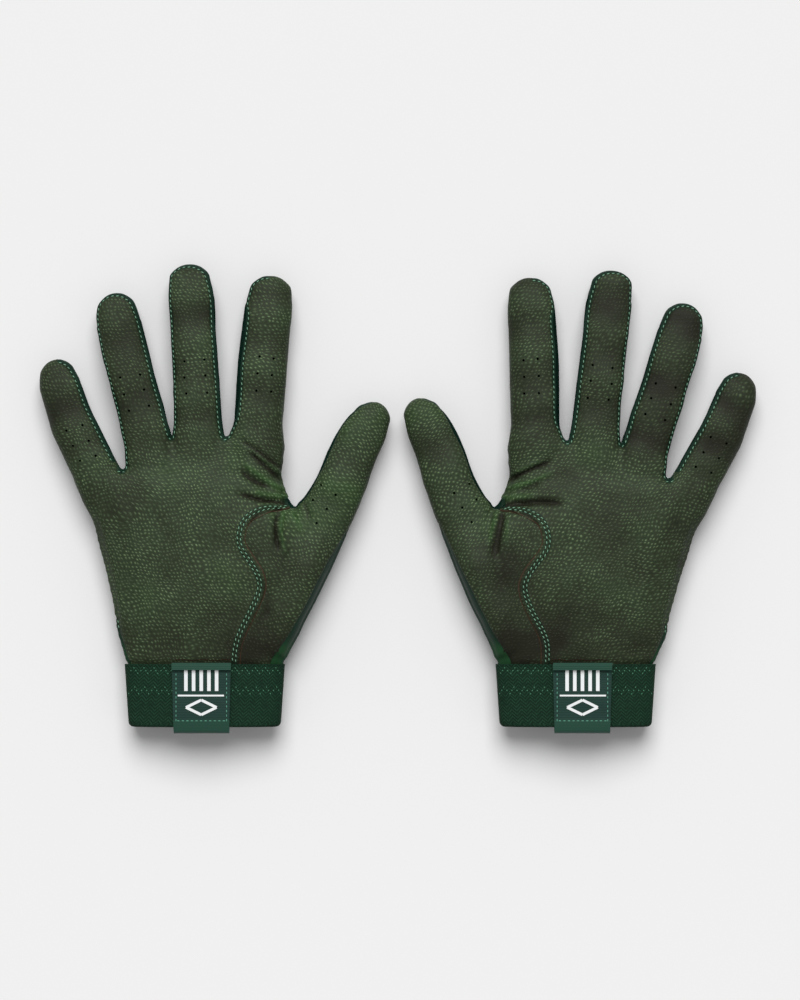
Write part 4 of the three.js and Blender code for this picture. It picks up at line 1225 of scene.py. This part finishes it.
    colour = colours.leather
    for share, over in (
        (greener, colours.leather_green), (fleck, colours.fleck), (grain_and_pit_shade, colours.grain_and_pit_shade),
        (browner, colours.leather_brown), (rim_shade, colours.rim_shade), (groove_shade, colours.seam),
        (cut, colours.cut_edge),
    ):
        colour = node("MixRGB", share, colour, over)
    relief = node("Math", fleck, FLECK_RELIEF, operation="MULTIPLY")
    relief = node("Math", fine, GRAIN_RELIEF, relief, operation="MULTIPLY_ADD")
    relief = node("Math", groove, GROOVE_RELIEF, relief, operation="MULTIPLY_ADD")
    surface(node, colour, relief, 0.55)


def plain_cloth(node, colour, pitch, depth, roughness, shade, specular, wrist):
    """A fine fabric: small rounded cells at a real pitch, painted darker between the cells as painted shade
    in their dips. Where the layer named wrist says so, it has the colour given for that."""
    place = node("Attribute", attribute_name="surface", out="Vector")
    cells = node("TexVoronoi", Vector=place, Scale=1.0 / pitch, Randomness=0.35)
    top = node("MapRange", cells, From_Min=0.6, From_Max=0.1)
    # Painted shade between the cells, also the colour of the cloth's random darker clouds.
    dark = toned(colour, shade)
    clouds = node("TexNoise", Vector=place, Scale=60.0, Detail=3.0)
    clouds = node("MapRange", clouds, From_Min=0.35, From_Max=0.65, To_Max=0.25)
    mixed = node("MixRGB", clouds, node("MixRGB", top, dark, colour), dark)
    mixed = node("MixRGB", node("Attribute", attribute_name="wrist", out="Fac"), mixed, wrist)
    surface(node, mixed, node("Math", top, depth, operation="MULTIPLY"), roughness, specular)


def twisted_thread(node, colour):
    """Twisted polyester thread: slightly glossy, painted lighter on top of each twist and darker between
    twists, as painted light and shade.
    """
    place = node("TexCoord", out="Object")
    twist = node("TexNoise", Vector=place, Scale=900.0, Detail=1.0)
    mixed = node("MixRGB", twist, toned(colour, 0.55), colour)
    surface(node, mixed, node("Math", twist, TWIST_RELIEF, operation="MULTIPLY"), 0.5)


def wave(node, value, length):
    """Even ribs along a value in metres, between 0 and 1."""
    turns = node("Math", value, 2.0 * pi / length, operation="MULTIPLY")
    return node("MapRange", node("Math", turns, operation="SINE"), From_Min=-1.0, From_Max=1.0)


def woven_elastic(node, _sizes, colours):
    """Woven elastic in a herringbone: fine ribs that turn back and forth every few millimetres."""
    around, up = node("SeparateXYZ", node("Attribute", attribute_name="weave", out="Vector"), out=slice(2))
    zigzag = node("Math", around, HERRINGBONE_TURN, operation="PINGPONG")
    rib = wave(node, node("Math", up, zigzag, operation="ADD"), HERRINGBONE_RIB)
    thread = node("MapRange", wave(node, around, HERRINGBONE_THREAD), To_Min=0.5)
    weave = node("Math", rib, thread, operation="MULTIPLY")
    place = node("TexCoord", out="Object")
    clouds = node("TexNoise", Vector=place, Scale=420.0, Detail=4.0)
    clouds = node("MapRange", clouds, From_Min=0.3, From_Max=0.6, To_Min=0.35)
    weave = node("Math", weave, clouds, operation="MULTIPLY")
    # The weave is painted from a lit and a shaded copy of the elastic's colour, lighter on the ribs' tops
    # and darker in their grooves: painted light and shade.
    mixed = node("MixRGB", weave, toned(colours.elastic, 0.6), toned(colours.elastic, 2.0))
    surface(node, mixed, node("Math", weave, HERRINGBONE_RELIEF, operation="MULTIPLY"), 0.8)


def satin_webbing(node, _sizes, colours):
    """Satin webbing: close ribs across the strip, with a soft sheen."""
    along = node("SeparateXYZ", node("Attribute", attribute_name="weave", out="Vector"), out="Y")
    rib = wave(node, along, WEBBING_RIB)
    place = node("TexCoord", out="Object")
    clouds = node("TexNoise", Vector=place, Scale=150.0, Detail=3.0)
    mixed = node("MixRGB", clouds, toned(colours.webbing, 0.8), toned(colours.webbing, 1.2))
    # Beyond the part sewn flat, where the strip folds over at the top and round the foot, it is painted
    # lighter as painted light on the fold.
    lit_fold = node("Math", along, WEBBING_MIDDLE, operation="SUBTRACT")
    lit_fold = node("Math", lit_fold, operation="ABSOLUTE")
    lit_fold = node("MapRange", lit_fold, From_Min=WEBBING_FLAT[0], From_Max=WEBBING_FLAT[1])
    mixed = node("MixRGB", lit_fold, mixed, colours.webbing_fold_light)
    surface(node, mixed, node("Math", rib, WEBBING_RELIEF, operation="MULTIPLY"), 0.5, sheen=0.3)


def raised_print(node, _sizes, colours):
    """Raised rubbery print: white, smooth and half matt."""
    place = node("TexCoord", out="Object")
    grain = node("TexNoise", Vector=place, Scale=700.0, Detail=2.0)
    mixed = node("MixRGB", grain, colours.print_dim, colours.print_white)
    surface(node, mixed, node("Math", grain, PRINT_RELIEF, operation="MULTIPLY"), 0.45)


def pale_paper(node, _sizes, colours):
    """Matt paper. Only the camera and mirror-like finishes see it as pale as it is, so that it doesn't
    light the gloves from below."""
    seen = node("LightPath", out="Is Camera Ray")
    for ray in ("Is Glossy Ray", "Is Transmission Ray"):
        seen = node("Math", seen, node("LightPath", out=ray), operation="MAXIMUM")
    node("OutputMaterial", Surface=node("BsdfDiffuse", Color=node(
        "MixRGB", seen, colours.paper_unseen, colours.paper)))


# Cloths: the colour, the pitch and depth of the cells in metres, the roughness, how dark the painted shade
# between the cells leaves it, the gloss and the colour at the wrist.
CLOTHS = {
    # Coated synthetic leather: smooth and slightly glossy, with a very fine pebble.
    "coated_back_synthetic": ("back", 0.0009, 0.00003, 0.5, 0.85, 0.15, "wrist"),
    # Stretch knit: matt, with small raised loops.
    "raised_loop_knit": ("knit", 0.0011, 0.00018, 0.9, 0.45, 0.03, "knit"),
    # Brushed loop tape: a matt nap.
    "brushed_loop_tape": ("elastic", 0.0008, 0.0002, 0.95, 0.5, 0.12, "elastic"),
    # Moulded hook tape: stiff dark hooks in close rows.
    "moulded_hook_tape": ("hooks", 0.0013, 0.0004, 0.6, 0.4, 0.12, "hooks"),
}
THREADS = {
    "polyester_thread": "thread", "brown_hem_thread": "hem_thread", "dark_needle_hole": "needle_hole",
    "dull_cuff_thread": "cuff_thread", "tab_thread": "tab_thread",
}
FINISHES = {
    "flecked_grip_leather": goat_leather, "herringbone_elastic": woven_elastic,
    "satin_webbing": satin_webbing, "raised_white_print": raised_print, "pale_paper_floor": pale_paper,
}


def dressed(obj, finish):
    """Gives a piece its material, which is made the first time that it is asked for."""
    material = bpy.data.materials.get(finish)
    if material is None:
        material = bpy.data.materials.new(finish)
        material.use_nodes = True
        material.node_tree.nodes.clear()
        node = partial(add, material.node_tree)
        sizes, colours = bpy.context.scene.glove_sizes, bpy.context.scene.glove_colours
        if finish in CLOTHS:
            colour, *texture, wrist = CLOTHS[finish]
            plain_cloth(node, getattr(colours, colour), *texture, getattr(colours, wrist))
        elif finish in THREADS:
            twisted_thread(node, getattr(colours, THREADS[finish]))
        else:
            FINISHES[finish](node, sizes, colours)
    obj.data.materials.clear()
    obj.data.materials.append(material)


CUFF_HEIGHT = 30.2
CUFF_TOP_HALF = 38.8
CUFF_FOOT_HALF = 36.8
CUFF_HALF_THICK = 9.0
CUFF_WALL = 1.8
SLIT_HALF = 3.5
CUFF_COLUMNS = 150

# The cuff's two zigzags: their top, foot and shift aside, the length of a turn, how many lie to each
# side of the middle, and where the stitches sit on its two legs.
ZIGZAGS = ((-1.2, -4.6, 0.0), (-10.4, -14.6, 0.4))
ZIGZAG_LENGTH = 4.9
ZIGZAG_TURNS = 15
ZIGZAG_LEGS = ((0, 0.12), (0, 0.5), (0, 0.88), (1, 0.5))
ZIGZAG_REACH = 37.0
TAB_CLEARANCE = 0.3


def cuff_ring(half_width, half_height, count):
    """Even points of a squared ellipse, from one edge of the back's opening round to the other."""
    angle = np.linspace(-0.5 * pi, 1.5 * pi, 4001)
    across, up = np.cos(angle), np.sin(angle)
    u = half_width * np.sign(across) * np.abs(across) ** (2.0 / 3.0)
    z = half_height * np.sign(up) * np.abs(up) ** (2.0 / 3.0)
    closed = (np.abs(u) >= SLIT_HALF) | (z > 0.0)
    u, z = u[closed], z[closed]
    reached = np.concatenate([[0.0], np.cumsum(np.hypot(np.diff(u), np.diff(z)))])
    even = np.linspace(0.0, reached[-1], count)
    return np.interp(even, reached, u), np.interp(even, reached, z), even


def cuff_shape(hand):
    """The elastic band round the wrist, open at the back where the glove is put on."""
    heights = [0.0, -0.35, -0.8, -1.4] + [-2.2 - 1.1 * i for i in range(24)]
    heights += [-CUFF_HEIGHT + rise for rise in (2.0, 1.4, 0.8, 0.4, 0.1, 0.0)]
    around = CUFF_COLUMNS
    bm = bmesh.new()
    bmesh.ops.create_grid(bm, x_segments=around - 1, y_segments=len(heights) - 1, size=0.5)
    weave = bm.verts.layers.float_vector.new("weave")
    rings = []
    for v in heights:
        lower = min(1.0, max(0.0, -v - CUFF_HEIGHT + 2.4) / 2.4)
        inward = 1.0 - (1.0 - lower ** 2) ** 0.5
        half = CUFF_TOP_HALF + (CUFF_FOOT_HALF - CUFF_TOP_HALF) * -v / CUFF_HEIGHT - 2.2 * inward
        rings.append(cuff_ring(half, CUFF_HALF_THICK - 0.7 * inward, around))
    for vert in bm.verts:
        column = round((vert.co.x + 0.5) * (around - 1))
        row = round((0.5 - vert.co.y) * (len(heights) - 1))
        u, z, reached = (values[column] for values in rings[row])
        vert.co = (u, heights[row], z)
        vert[weave] = (reached * MM, heights[row] * MM, 0.0)
    points = bm_points(bm)
    u, v, z = points.T
    points[:, 2] += 0.22 * ripples(u, v, SEEDS[hand] + 3.0, 16.0) * smoothstep(0.0, 6.0, -v) * (z > 0.0)
    points[:, 2] += 0.35 * np.exp(-((v / 0.9) ** 2)) * np.sign(z)
    move_to(bm, points)
    bm.normal_update()
    if sum(face.normal.z * face.calc_center_median().z for face in bm.faces) < 0.0:
        bmesh.ops.reverse_faces(bm, faces=bm.faces)
    return bm


TAB_HALF = 13.85
TAB_TAPER = 0.45
TAB_STRAY = 0.7
TAB_TOP = 0.1
TAB_FOOT = -33.4
TAB_FRONT = 10.5
TAB_INNER = 5.5
TAB_INNER_TOP = -18.5
TAB_COLUMNS = 24

# The tab's rows of stitches and the place of its marks.
TAB_ROW_HALF = 12.2
TAB_ROW_TOP = -3.6
TAB_ROW_FOOT = -27.0
TAB_PITCH = 2.2
MARK_WALL = 0.22
MARK_RISE = 0.16

# Each mark's place, width, height and turn: five upright bars, a line and the four sides of a lozenge.
MARKS = (
    *((-7.4 + 3.7 * i, -7.2, 1.7, 10.8, 0.0) for i in range(5)),
    (-0.2, -14.8, 22.3, 0.8, 0.0),
    *((side * 3.7, -20.5 + end * 1.75, 1.3, 8.2, 90.0 - side * end * 26.0)
      for side in (-1.0, 1.0) for end in (-1.0, 1.0)),
)

# Edges of a copied piece that are sharper than this are softened.
SHARP_EDGE = radians(50.0)


def tab_aside(hand):
    """How far aside of the cuff's middle the tab is sewn, towards the thumb."""
    return TAB_ASIDES[hand] / MM * (-1.0 if hand == "left" else 1.0) + TAB_STRAY


def tab_shape(hand):
    """The pull tab: one strip of webbing folded round the cuff's foot, with a fold at its top edge."""
    bend = (TAB_FRONT - 1.1 - TAB_INNER) / 2
    centre_v, centre_z = TAB_FOOT + bend + 0.2, (TAB_FRONT + TAB_INNER) / 2 - 0.4
    hem = ((-2.6, 0.75), (-0.4, 0.75), (0.0, 0.35), (-0.5, -0.1), (-2.6, -0.1))
    path = [(TAB_TOP + down, TAB_FRONT + out) for down, out in hem]
    path += [(TAB_TOP - 2.6 - 1.5 * i, TAB_FRONT) for i in range(1, 18)]
    path += [
        (centre_v - bend * sin(pi * i / 10), centre_z + bend * cos(pi * i / 10)) for i in range(11)
    ]
    path += [(centre_v + (TAB_INNER_TOP - centre_v) * i / 6, TAB_INNER) for i in range(1, 7)]
    bm = bmesh.new()
    bmesh.ops.create_grid(bm, x_segments=TAB_COLUMNS, y_segments=len(path) - 1, size=0.5)
    weave = bm.verts.layers.float_vector.new("weave")
    reached = [0.0]
    for (v0, z0), (v1, z1) in zip(path, path[1:]):
        reached.append(reached[-1] + np.hypot(v1 - v0, z1 - z0))
    for vert in bm.verts:
        share = vert.co.x + 0.5
        row = min(len(path) - 1, max(0, round((0.5 - vert.co.y) * (len(path) - 1))))
        v, z = path[row]
        half = np.interp(v, (TAB_FOOT, TAB_TOP), (TAB_HALF - TAB_TAPER, TAB_HALF + TAB_TAPER))
        u = tab_aside(hand) + half * (2.0 * share - 1.0)
        crown = 0.25 * (1.0 - (2.0 * share - 1.0) ** 4) + 0.12 * sin(v * 0.35 + SEEDS[hand])
        vert.co = (u, v, z + (crown if z > centre_z + 1.0 else 0.0))
        vert[weave] = (u * MM, reached[row] * MM, 0.0)
    bm.normal_update()
    front = [face for face in bm.faces if face.calc_center_median().z > TAB_FRONT - 0.3]
    if sum(face.normal.z * face.calc_area() for face in front) < 0.0:
        bmesh.ops.reverse_faces(bm, faces=bm.faces)
    return bm


def zigzag_places(hand):
    """Where the cuff's zigzag stitches sit, clear of the tab and of the cuff's sides."""
    places = []
    for high, low, shift in ZIGZAGS:
        for i in range(-ZIGZAG_TURNS, ZIGZAG_TURNS + 1):
            for leg, share in ZIGZAG_LEGS:
                u = (i + (leg + share) / 2) * ZIGZAG_LENGTH + shift
                v = high + (low - high) * (share if leg == 0 else 1.0 - share)
                if abs(u - tab_aside(hand)) < TAB_HALF + TAB_CLEARANCE or abs(u) > ZIGZAG_REACH:
                    continue
                fall = low - high if leg == 0 else high - low
                places.append((Vector((u, v, 0.0)), Vector((ZIGZAG_LENGTH / 2, fall, 0.0)).normalized()))
    return places


def flat_marks():
    """Plain generic marks for the tab: upright bars, a line and a lozenge, as one flat print."""
    bm = bmesh.new()
    for u, v, wide, high, turn in MARKS:
        matrix = (
            Matrix.Translation((u, v, 0.0)) @ Matrix.Rotation(radians(turn), 4, "Z")
            @ Matrix.Diagonal((wide / 2, high / 2, 1.0, 1.0))
        )
        bmesh.ops.create_grid(bm, x_segments=1, y_segments=6, size=1.0, matrix=matrix)
    return bm


def softened_copy(hand, node, name, width):
    """A piece with the node's own shape and its edges softened over a width in millimetres."""
    bm = bmesh.new()
    bm.from_mesh(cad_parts[f"{hand}_{node}"].data)
    bmesh.ops.remove_doubles(bm, verts=bm.verts, dist=0.01 * MM)
    bmesh.ops.dissolve_limit(bm, angle_limit=radians(1.0), verts=bm.verts, edges=bm.edges)
    sharp = [
        edge for edge in bm.edges
        if len(edge.link_faces) == 2 and edge.calc_face_angle(0.0) > SHARP_EDGE
    ]
    bmesh.ops.bevel(bm, geom=sharp, offset=width * MM, offset_type="OFFSET", segments=2, profile=0.5,
                    affect="EDGES", clamp_overlap=True, material=-1)
    bmesh.ops.triangulate(bm, faces=bm.faces)
    layer = bm.verts.layers.float_vector.new("surface")
    for vert in bm.verts:
        vert[layer] = vert.co
    obj = shown(f"{hand}_{name}", bm)
    finished(obj)
    return obj


# Sizes and colours that a user would change

def length_property(name, metres, least, description):
    return FloatProperty(name=name, description=description, default=metres, min=least, unit="LENGTH")


def colour_property(name, code, description):
    return FloatVectorProperty(
        name=name, description=description, subtype="COLOR", size=4, min=0.0, max=1.0, default=srgb(code))


class GloveSizes(PropertyGroup):
    leather_thickness: length_property(
        "Leather Thickness", 0.0009, 0.0003, "How thick the palm leather is")
    stitch_length: length_property(
        "Stitch Length", 0.0015, 0.0005, "How long one stitch shows on top of the leather")
    stitch_pitch: length_property("Stitch Pitch", 0.00245, 0.0008, "From one stitch to the next in a row")
    thread_width: length_property("Thread Width", 0.00052, 0.0001, "How wide the sewing thread lies")
    hole_diameter: length_property("Air Hole", 0.00125, 0.0004, "How wide the punched air holes are")
    fleck_spacing: length_property(
        "Fleck Spacing", 0.0018, 0.0005, "From one grip fleck to the next in a row")
    fleck_row: length_property("Fleck Rows", 0.0018, 0.0005, "From one row of grip flecks to the next")


class GloveColours(PropertyGroup):
    leather: colour_property("Leather", "#37432f", "The palm leather between its flecks")
    # Partly greener patches of dye, partly painted light on ridges and lit spots.
    leather_green: colour_property("Green Patches", "#3a5530", "Where the dye is greener")
    # Partly browner patches of dye, partly painted shade in the creases, on the fingers and in shaded
    # spots.
    leather_brown: colour_property("Brown Patches", "#201f17", "Where the dye is darker and browner")
    # The flecks' pale colour is partly a painted highlight on their raised tops.
    fleck: colour_property("Flecks", "#7a9269", "The raised grip flecks")
    # Painted shadow in the dips round the flecks, and the fine grain's dark specks.
    grain_and_pit_shade: colour_property("Pits", "#192213", "The dips between the flecks")
    # Painted shade on the leather's edge beyond its stitches.
    rim_shade: colour_property("Cut Rim", "#122b20", "The leather beyond its stitches")
    # Painted shade in the groove along each row of stitches.
    seam: colour_property("Seam Dye", "#112a1c", "The leather along a row of stitches")
    # The raw edge's own brown, also painted as shadow on the thumb leather just under the palm leather's
    # edge.
    cut_edge: colour_property("Cut Edge", "#4c3a2d", "The raw edge of the leather")
    thread: colour_property("Thread", "#8cbb9c", "The top stitching")
    # Dark brown that stands for the shade under the leather's edge above the tab: painted shade.
    hem_thread: colour_property("Hem Thread", "#301c16", "The row of stitches above the pull tab")
    needle_hole: colour_property("Needle Holes", "#08120c", "The holes between the stitches")
    # Painted shadow inside each needle hole.
    back: colour_property("Back", "#1b3628", "The coated synthetic of the back")
    wrist: colour_property("Wrist", "#1f4528", "The coated synthetic beside the cuff")
    knit: colour_property("Knit", "#16352a", "The stretch knit of the knuckles and finger sides")
    elastic: colour_property("Elastic", "#163122", "The cuff")
    cuff_thread: colour_property("Cuff Thread", "#5f9a78", "The zigzags on the cuff")
    webbing: colour_property("Webbing", "#18372f", "The pull tab")
    # Painted light on the tab's folds.
    webbing_fold_light: colour_property("Webbing Loop", "#22473a", "The folds of the pull tab")
    tab_thread: colour_property("Tab Thread", "#6fb39a", "The stitches of the pull tab")
    print_white: colour_property("Print", "#f6f8f8", "The marks on the pull tab")
    print_dim: colour_property("Dim Print", "#e6eaea", "The print's duller grains")
    hooks: colour_property("Hooks", "#18261f", "The hook tape under the strap")
    paper: colour_property("Paper", "#f0f0f0", "The studio floor as the camera sees it")
    paper_unseen: colour_property("Unseen Paper", "#9a9a9a", "The studio floor as it lights the gloves")


class GLOVES_OT_leather(Operator):
    """Sews the palm and thumb leathers of both gloves"""

    bl_idname = "gloves.leather"
    bl_label = "Palm and Thumb Leather"

    def execute(self, context):
        thickness = context.scene.glove_sizes.leather_thickness / MM
        for hand in HANDS:
            for part in ("palm", "thumb"):
                bm = leather_shape(f"{part}_leather", hand)
                leather_trees[hand].append(BVHTree.FromBMesh(bm))
                obj = placed(f"{part}_leather", bm, hand, thickness, "palm_leather", f"{part}_panel")
                dressed(obj, "flecked_grip_leather")
        return {"FINISHED"}


class GLOVES_OT_backs(Operator):
    """Sews the coated backs of the hands, fingers and thumbs"""

    bl_idname = "gloves.backs"
    bl_label = "Coated Backs"

    def execute(self, context):
        nodes = ["backhand_panel"] + [f"{name}_back" for name in FINGERS]
        for hand in HANDS:
            for node in nodes:
                name = node.replace("_panel", "") + "_synthetic"
                bm = back_shape(node, hand)
                back_trees[hand].append(BVHTree.FromBMesh(bm))
                obj = placed(name, bm, hand, SYNTHETIC_WALL, "back_synthetic", node)
                dressed(obj, "coated_back_synthetic")
        return {"FINISHED"}


class GLOVES_OT_knits(Operator):
    """Sews the stretch knit of the knuckles, the finger sides and the thumb's crotch"""

    bl_idname = "gloves.knits"
    bl_label = "Stretch Knit"

    def execute(self, context):
        nodes = [f"{a}_{b}_fourchette" for a, b in FINGER_PAIRS] + ["thumb_gusset", "knuckle_panel"]
        for hand in HANDS:
            for node in nodes:
                obj = placed(f"{node}_knit", back_shape(node, hand), hand, KNIT_WALL, "stretch_knit", node)
                dressed(obj, "raised_loop_knit")
        return {"FINISHED"}


class GLOVES_OT_stitching(Operator):
    """Sews the rows of stitches on the palm side, and on the back along the knuckle panel"""

    bl_idname = "gloves.stitching"
    bl_label = "Stitching"

    def execute(self, context):
        sizes = context.scene.glove_sizes
        width, pitch = sizes.thread_width, sizes.stitch_pitch / MM
        shape = stitch_shape(sizes.stitch_length, width, width * THREAD_FLATNESS)
        hole = stitch_shape(*NEEDLE_HOLE)
        for hand in HANDS:
            leather, back = leather_trees[hand], back_trees[hand]
            lines = [smoothed([(point.x, point.y, 0.0) for point in line]) for line in stitch_lines(hand)]
            rows = [smoothed(row) for row in pattern().back_rows]
            stitches = [place for line in lines for place in spaced(line, pitch)]
            stitches = sewn_places(stitches, leather, hand, STITCH_SLANT)
            holes = [place for line in lines for place in spaced(line, pitch, 1.0)]
            holes = sewn_places(holes, leather, hand)
            back_stitches = [place for row in rows for place in spaced(row, pitch)]
            back_stitches = sewn_places(back_stitches, back, hand, side=-1.0)
            hem = [
                (Vector((HEM_START + HEM_PITCH * i, HEM_UP + HEM_SWAY * sin(i * HEM_BEND), 0.0)), ACROSS)
                for i in range(HEM_COUNT)
            ]
            hem = sewn_places(hem, leather, hand)
            # Stitches in dark brown that stand for the shade under the leather's edge: painted shade.
            sewn("hem_stitches", hand, shape, hem, "brown_hem_thread", "palm_leather")
            # Dark blobs at each stitch's ends: painted shadow inside the needle holes.
            sewn("needle_holes", hand, hole, holes, "dark_needle_hole", "palm_leather")
            sewn("palm_stitches", hand, shape, stitches, "polyester_thread", "palm_leather")
            sewn("back_stitches", hand, shape, back_stitches, "polyester_thread", "back_synthetic")
        bpy.data.meshes.remove(shape)
        bpy.data.meshes.remove(hole)
        return {"FINISHED"}


class GLOVES_OT_cuffs(Operator):
    """Weaves the elastic cuffs and sews their zigzags"""

    bl_idname = "gloves.cuffs"
    bl_label = "Elastic Cuffs"

    def execute(self, context):
        shape = stitch_shape(*ZIGZAG_STITCH)
        for hand in HANDS:
            bm = cuff_shape(hand)
            tree = BVHTree.FromBMesh(bm)
            obj = placed("cuff_elastic", bm, hand, CUFF_WALL, "cuff_elastic", "cuff_band")
            dressed(obj, "herringbone_elastic")
            places = sewn_places(zigzag_places(hand), [tree], hand)
            sewn("cuff_zigzag", hand, shape, places, "dull_cuff_thread", "cuff_elastic")
        bpy.data.meshes.remove(shape)
        return {"FINISHED"}


class GLOVES_OT_tabs(Operator):
    """Folds the pull tabs, sews them on and prints their plain marks"""

    bl_idname = "gloves.tabs"
    bl_label = "Pull Tabs"

    def execute(self, context):
        shape = stitch_shape(*TAB_STITCH)
        for hand in HANDS:
            bm = tab_shape(hand)
            tree = BVHTree.FromBMesh(bm)
            obj = placed("tab_webbing", bm, hand, WEBBING_WALL, "tab_webbing", "pull_tab")
            dressed(obj, "satin_webbing")
            aside = tab_aside(hand)
            left, right = aside - TAB_ROW_HALF, aside + TAB_ROW_HALF
            rows = [((u, TAB_ROW_TOP, 0.0), (u, TAB_ROW_FOOT, 0.0)) for u in (left, right)]
            rows.append(((left, TAB_ROW_FOOT, 0.0), (right + 0.2, TAB_ROW_FOOT, 0.0)))
            places = [place for row in rows for place in spaced([Vector(end) for end in row], TAB_PITCH)]
            places = sewn_places(places, [tree], hand)
            sewn("tab_stitches", hand, shape, places, "tab_thread", "tab_webbing")
            marks = flat_marks()
            bmesh.ops.translate(marks, verts=marks.verts, vec=(aside, 0.0, 0.0))
            for vert in marks.verts:
                spot = tree.ray_cast(Vector((vert.co.x, vert.co.y, ABOVE)), Vector((0.0, 0.0, -1.0)))[0]
                vert.co.z = spot.z + MARK_RISE
            dressed(placed("tab_marks", marks, hand, MARK_WALL, "tab_webbing"), "raised_white_print")
        bpy.data.meshes.remove(shape)
        return {"FINISHED"}


class GLOVES_OT_closures(Operator):
    """Makes the closure straps, their anchors and their hook and loop pads"""

    bl_idname = "gloves.closures"
    bl_label = "Closure Straps"

    def execute(self, context):
        for hand in HANDS:
            for node, kind, body, slot, finish, softness in (
                ("strap_anchor", "synthetic", "glove", "back_synthetic", "coated_back_synthetic", 0.3),
                ("closure_strap", "synthetic", "strap", "back_synthetic", "coated_back_synthetic", 0.3),
                ("hook_pad", "tape", "strap", "hook_tape", "moulded_hook_tape", 0.15),
                ("loop_pad", "tape", "glove", "loop_tape", "brushed_loop_tape", 0.2),
            ):
                obj = softened_copy(hand, node, f"{node}_{kind}", softness)
                joined(obj, f"{hand}_{body}", slot, f"{hand}_{node}")
                dressed(obj, finish)
        return {"FINISHED"}


class GLOVES_OT_studio(Operator):
    """Lays a pale floor and sets the lights and the camera straight above the gloves"""

    bl_idname = "gloves.studio"
    bl_label = "Pale Studio"

    def execute(self, context):
        scene = context.scene
        bm = bmesh.new()
        bmesh.ops.create_grid(bm, x_segments=1, y_segments=1, size=FLOOR_HALF)
        floor = bpy.data.objects.new("studio_floor", mesh_of(bm, "studio_floor"))
        scene.collection.objects.link(floor)
        dressed(floor, "pale_paper_floor")

        world = bpy.data.worlds.new("studio_air")
        world.use_nodes = True
        background = world.node_tree.nodes["Background"]
        background.inputs["Color"].default_value = (1.0, 1.0, 1.0, 1.0)
        background.inputs["Strength"].default_value = AIR_LIGHT
        scene.world = world

        light = bpy.data.lights.new("overhead_softbox", "SUN")
        light.angle = SOFTBOX_WIDTH
        light.energy = SOFTBOX_LIGHT
        lamp = bpy.data.objects.new("overhead_softbox", light)
        lamp.rotation_euler = (SOFTBOX_TILT, 0.0, 0.0)
        scene.collection.objects.link(lamp)

        camera = bpy.data.cameras.new("overhead_camera")
        camera.lens = camera.sensor_width * CAMERA_DISTANCE / PICTURE_HEIGHT
        camera.clip_end = CAMERA_REACH
        holder = bpy.data.objects.new("overhead_camera", camera)
        holder.location = CAMERA_PLACE
        scene.collection.objects.link(holder)
        scene.camera = holder
        scene.view_settings.view_transform = "Standard"
        return {"FINISHED"}


OPERATORS = (
    GLOVES_OT_studio, GLOVES_OT_leather, GLOVES_OT_backs, GLOVES_OT_knits, GLOVES_OT_stitching,
    GLOVES_OT_cuffs, GLOVES_OT_tabs, GLOVES_OT_closures,
)


class GLOVES_PT_panel(Panel):
    """The steps that make the gloves"""

    bl_idname = "GLOVES_PT_panel"
    bl_label = "Batting Gloves"
    bl_space_type = "VIEW_3D"
    bl_region_type = "UI"
    bl_category = "Gloves"

    def draw(self, context):
        column = self.layout.column()
        for group in (context.scene.glove_sizes, context.scene.glove_colours):
            for name in group.bl_rna.properties.keys():
                if name not in ("rna_type", "name"):
                    column.prop(group, name)
        for operator in OPERATORS:
            column.operator(operator.bl_idname)


CLASSES = (GloveSizes, GloveColours, *OPERATORS, GLOVES_PT_panel)


def register():
    for cls in CLASSES:
        bpy.utils.register_class(cls)
    bpy.types.Scene.glove_sizes = PointerProperty(type=GloveSizes)
    bpy.types.Scene.glove_colours = PointerProperty(type=GloveColours)


def unregister():
    del bpy.types.Scene.glove_colours
    del bpy.types.Scene.glove_sizes
    for cls in reversed(CLASSES):
        bpy.utils.unregister_class(cls)


def main():
    register()
    bpy.ops.gloves.studio()
    bpy.ops.gloves.leather()
    bpy.ops.gloves.backs()
    bpy.ops.gloves.knits()
    bpy.ops.gloves.stitching()
    bpy.ops.gloves.cuffs()
    bpy.ops.gloves.tabs()
    bpy.ops.gloves.closures()


if __name__ == "__main__":
    main()
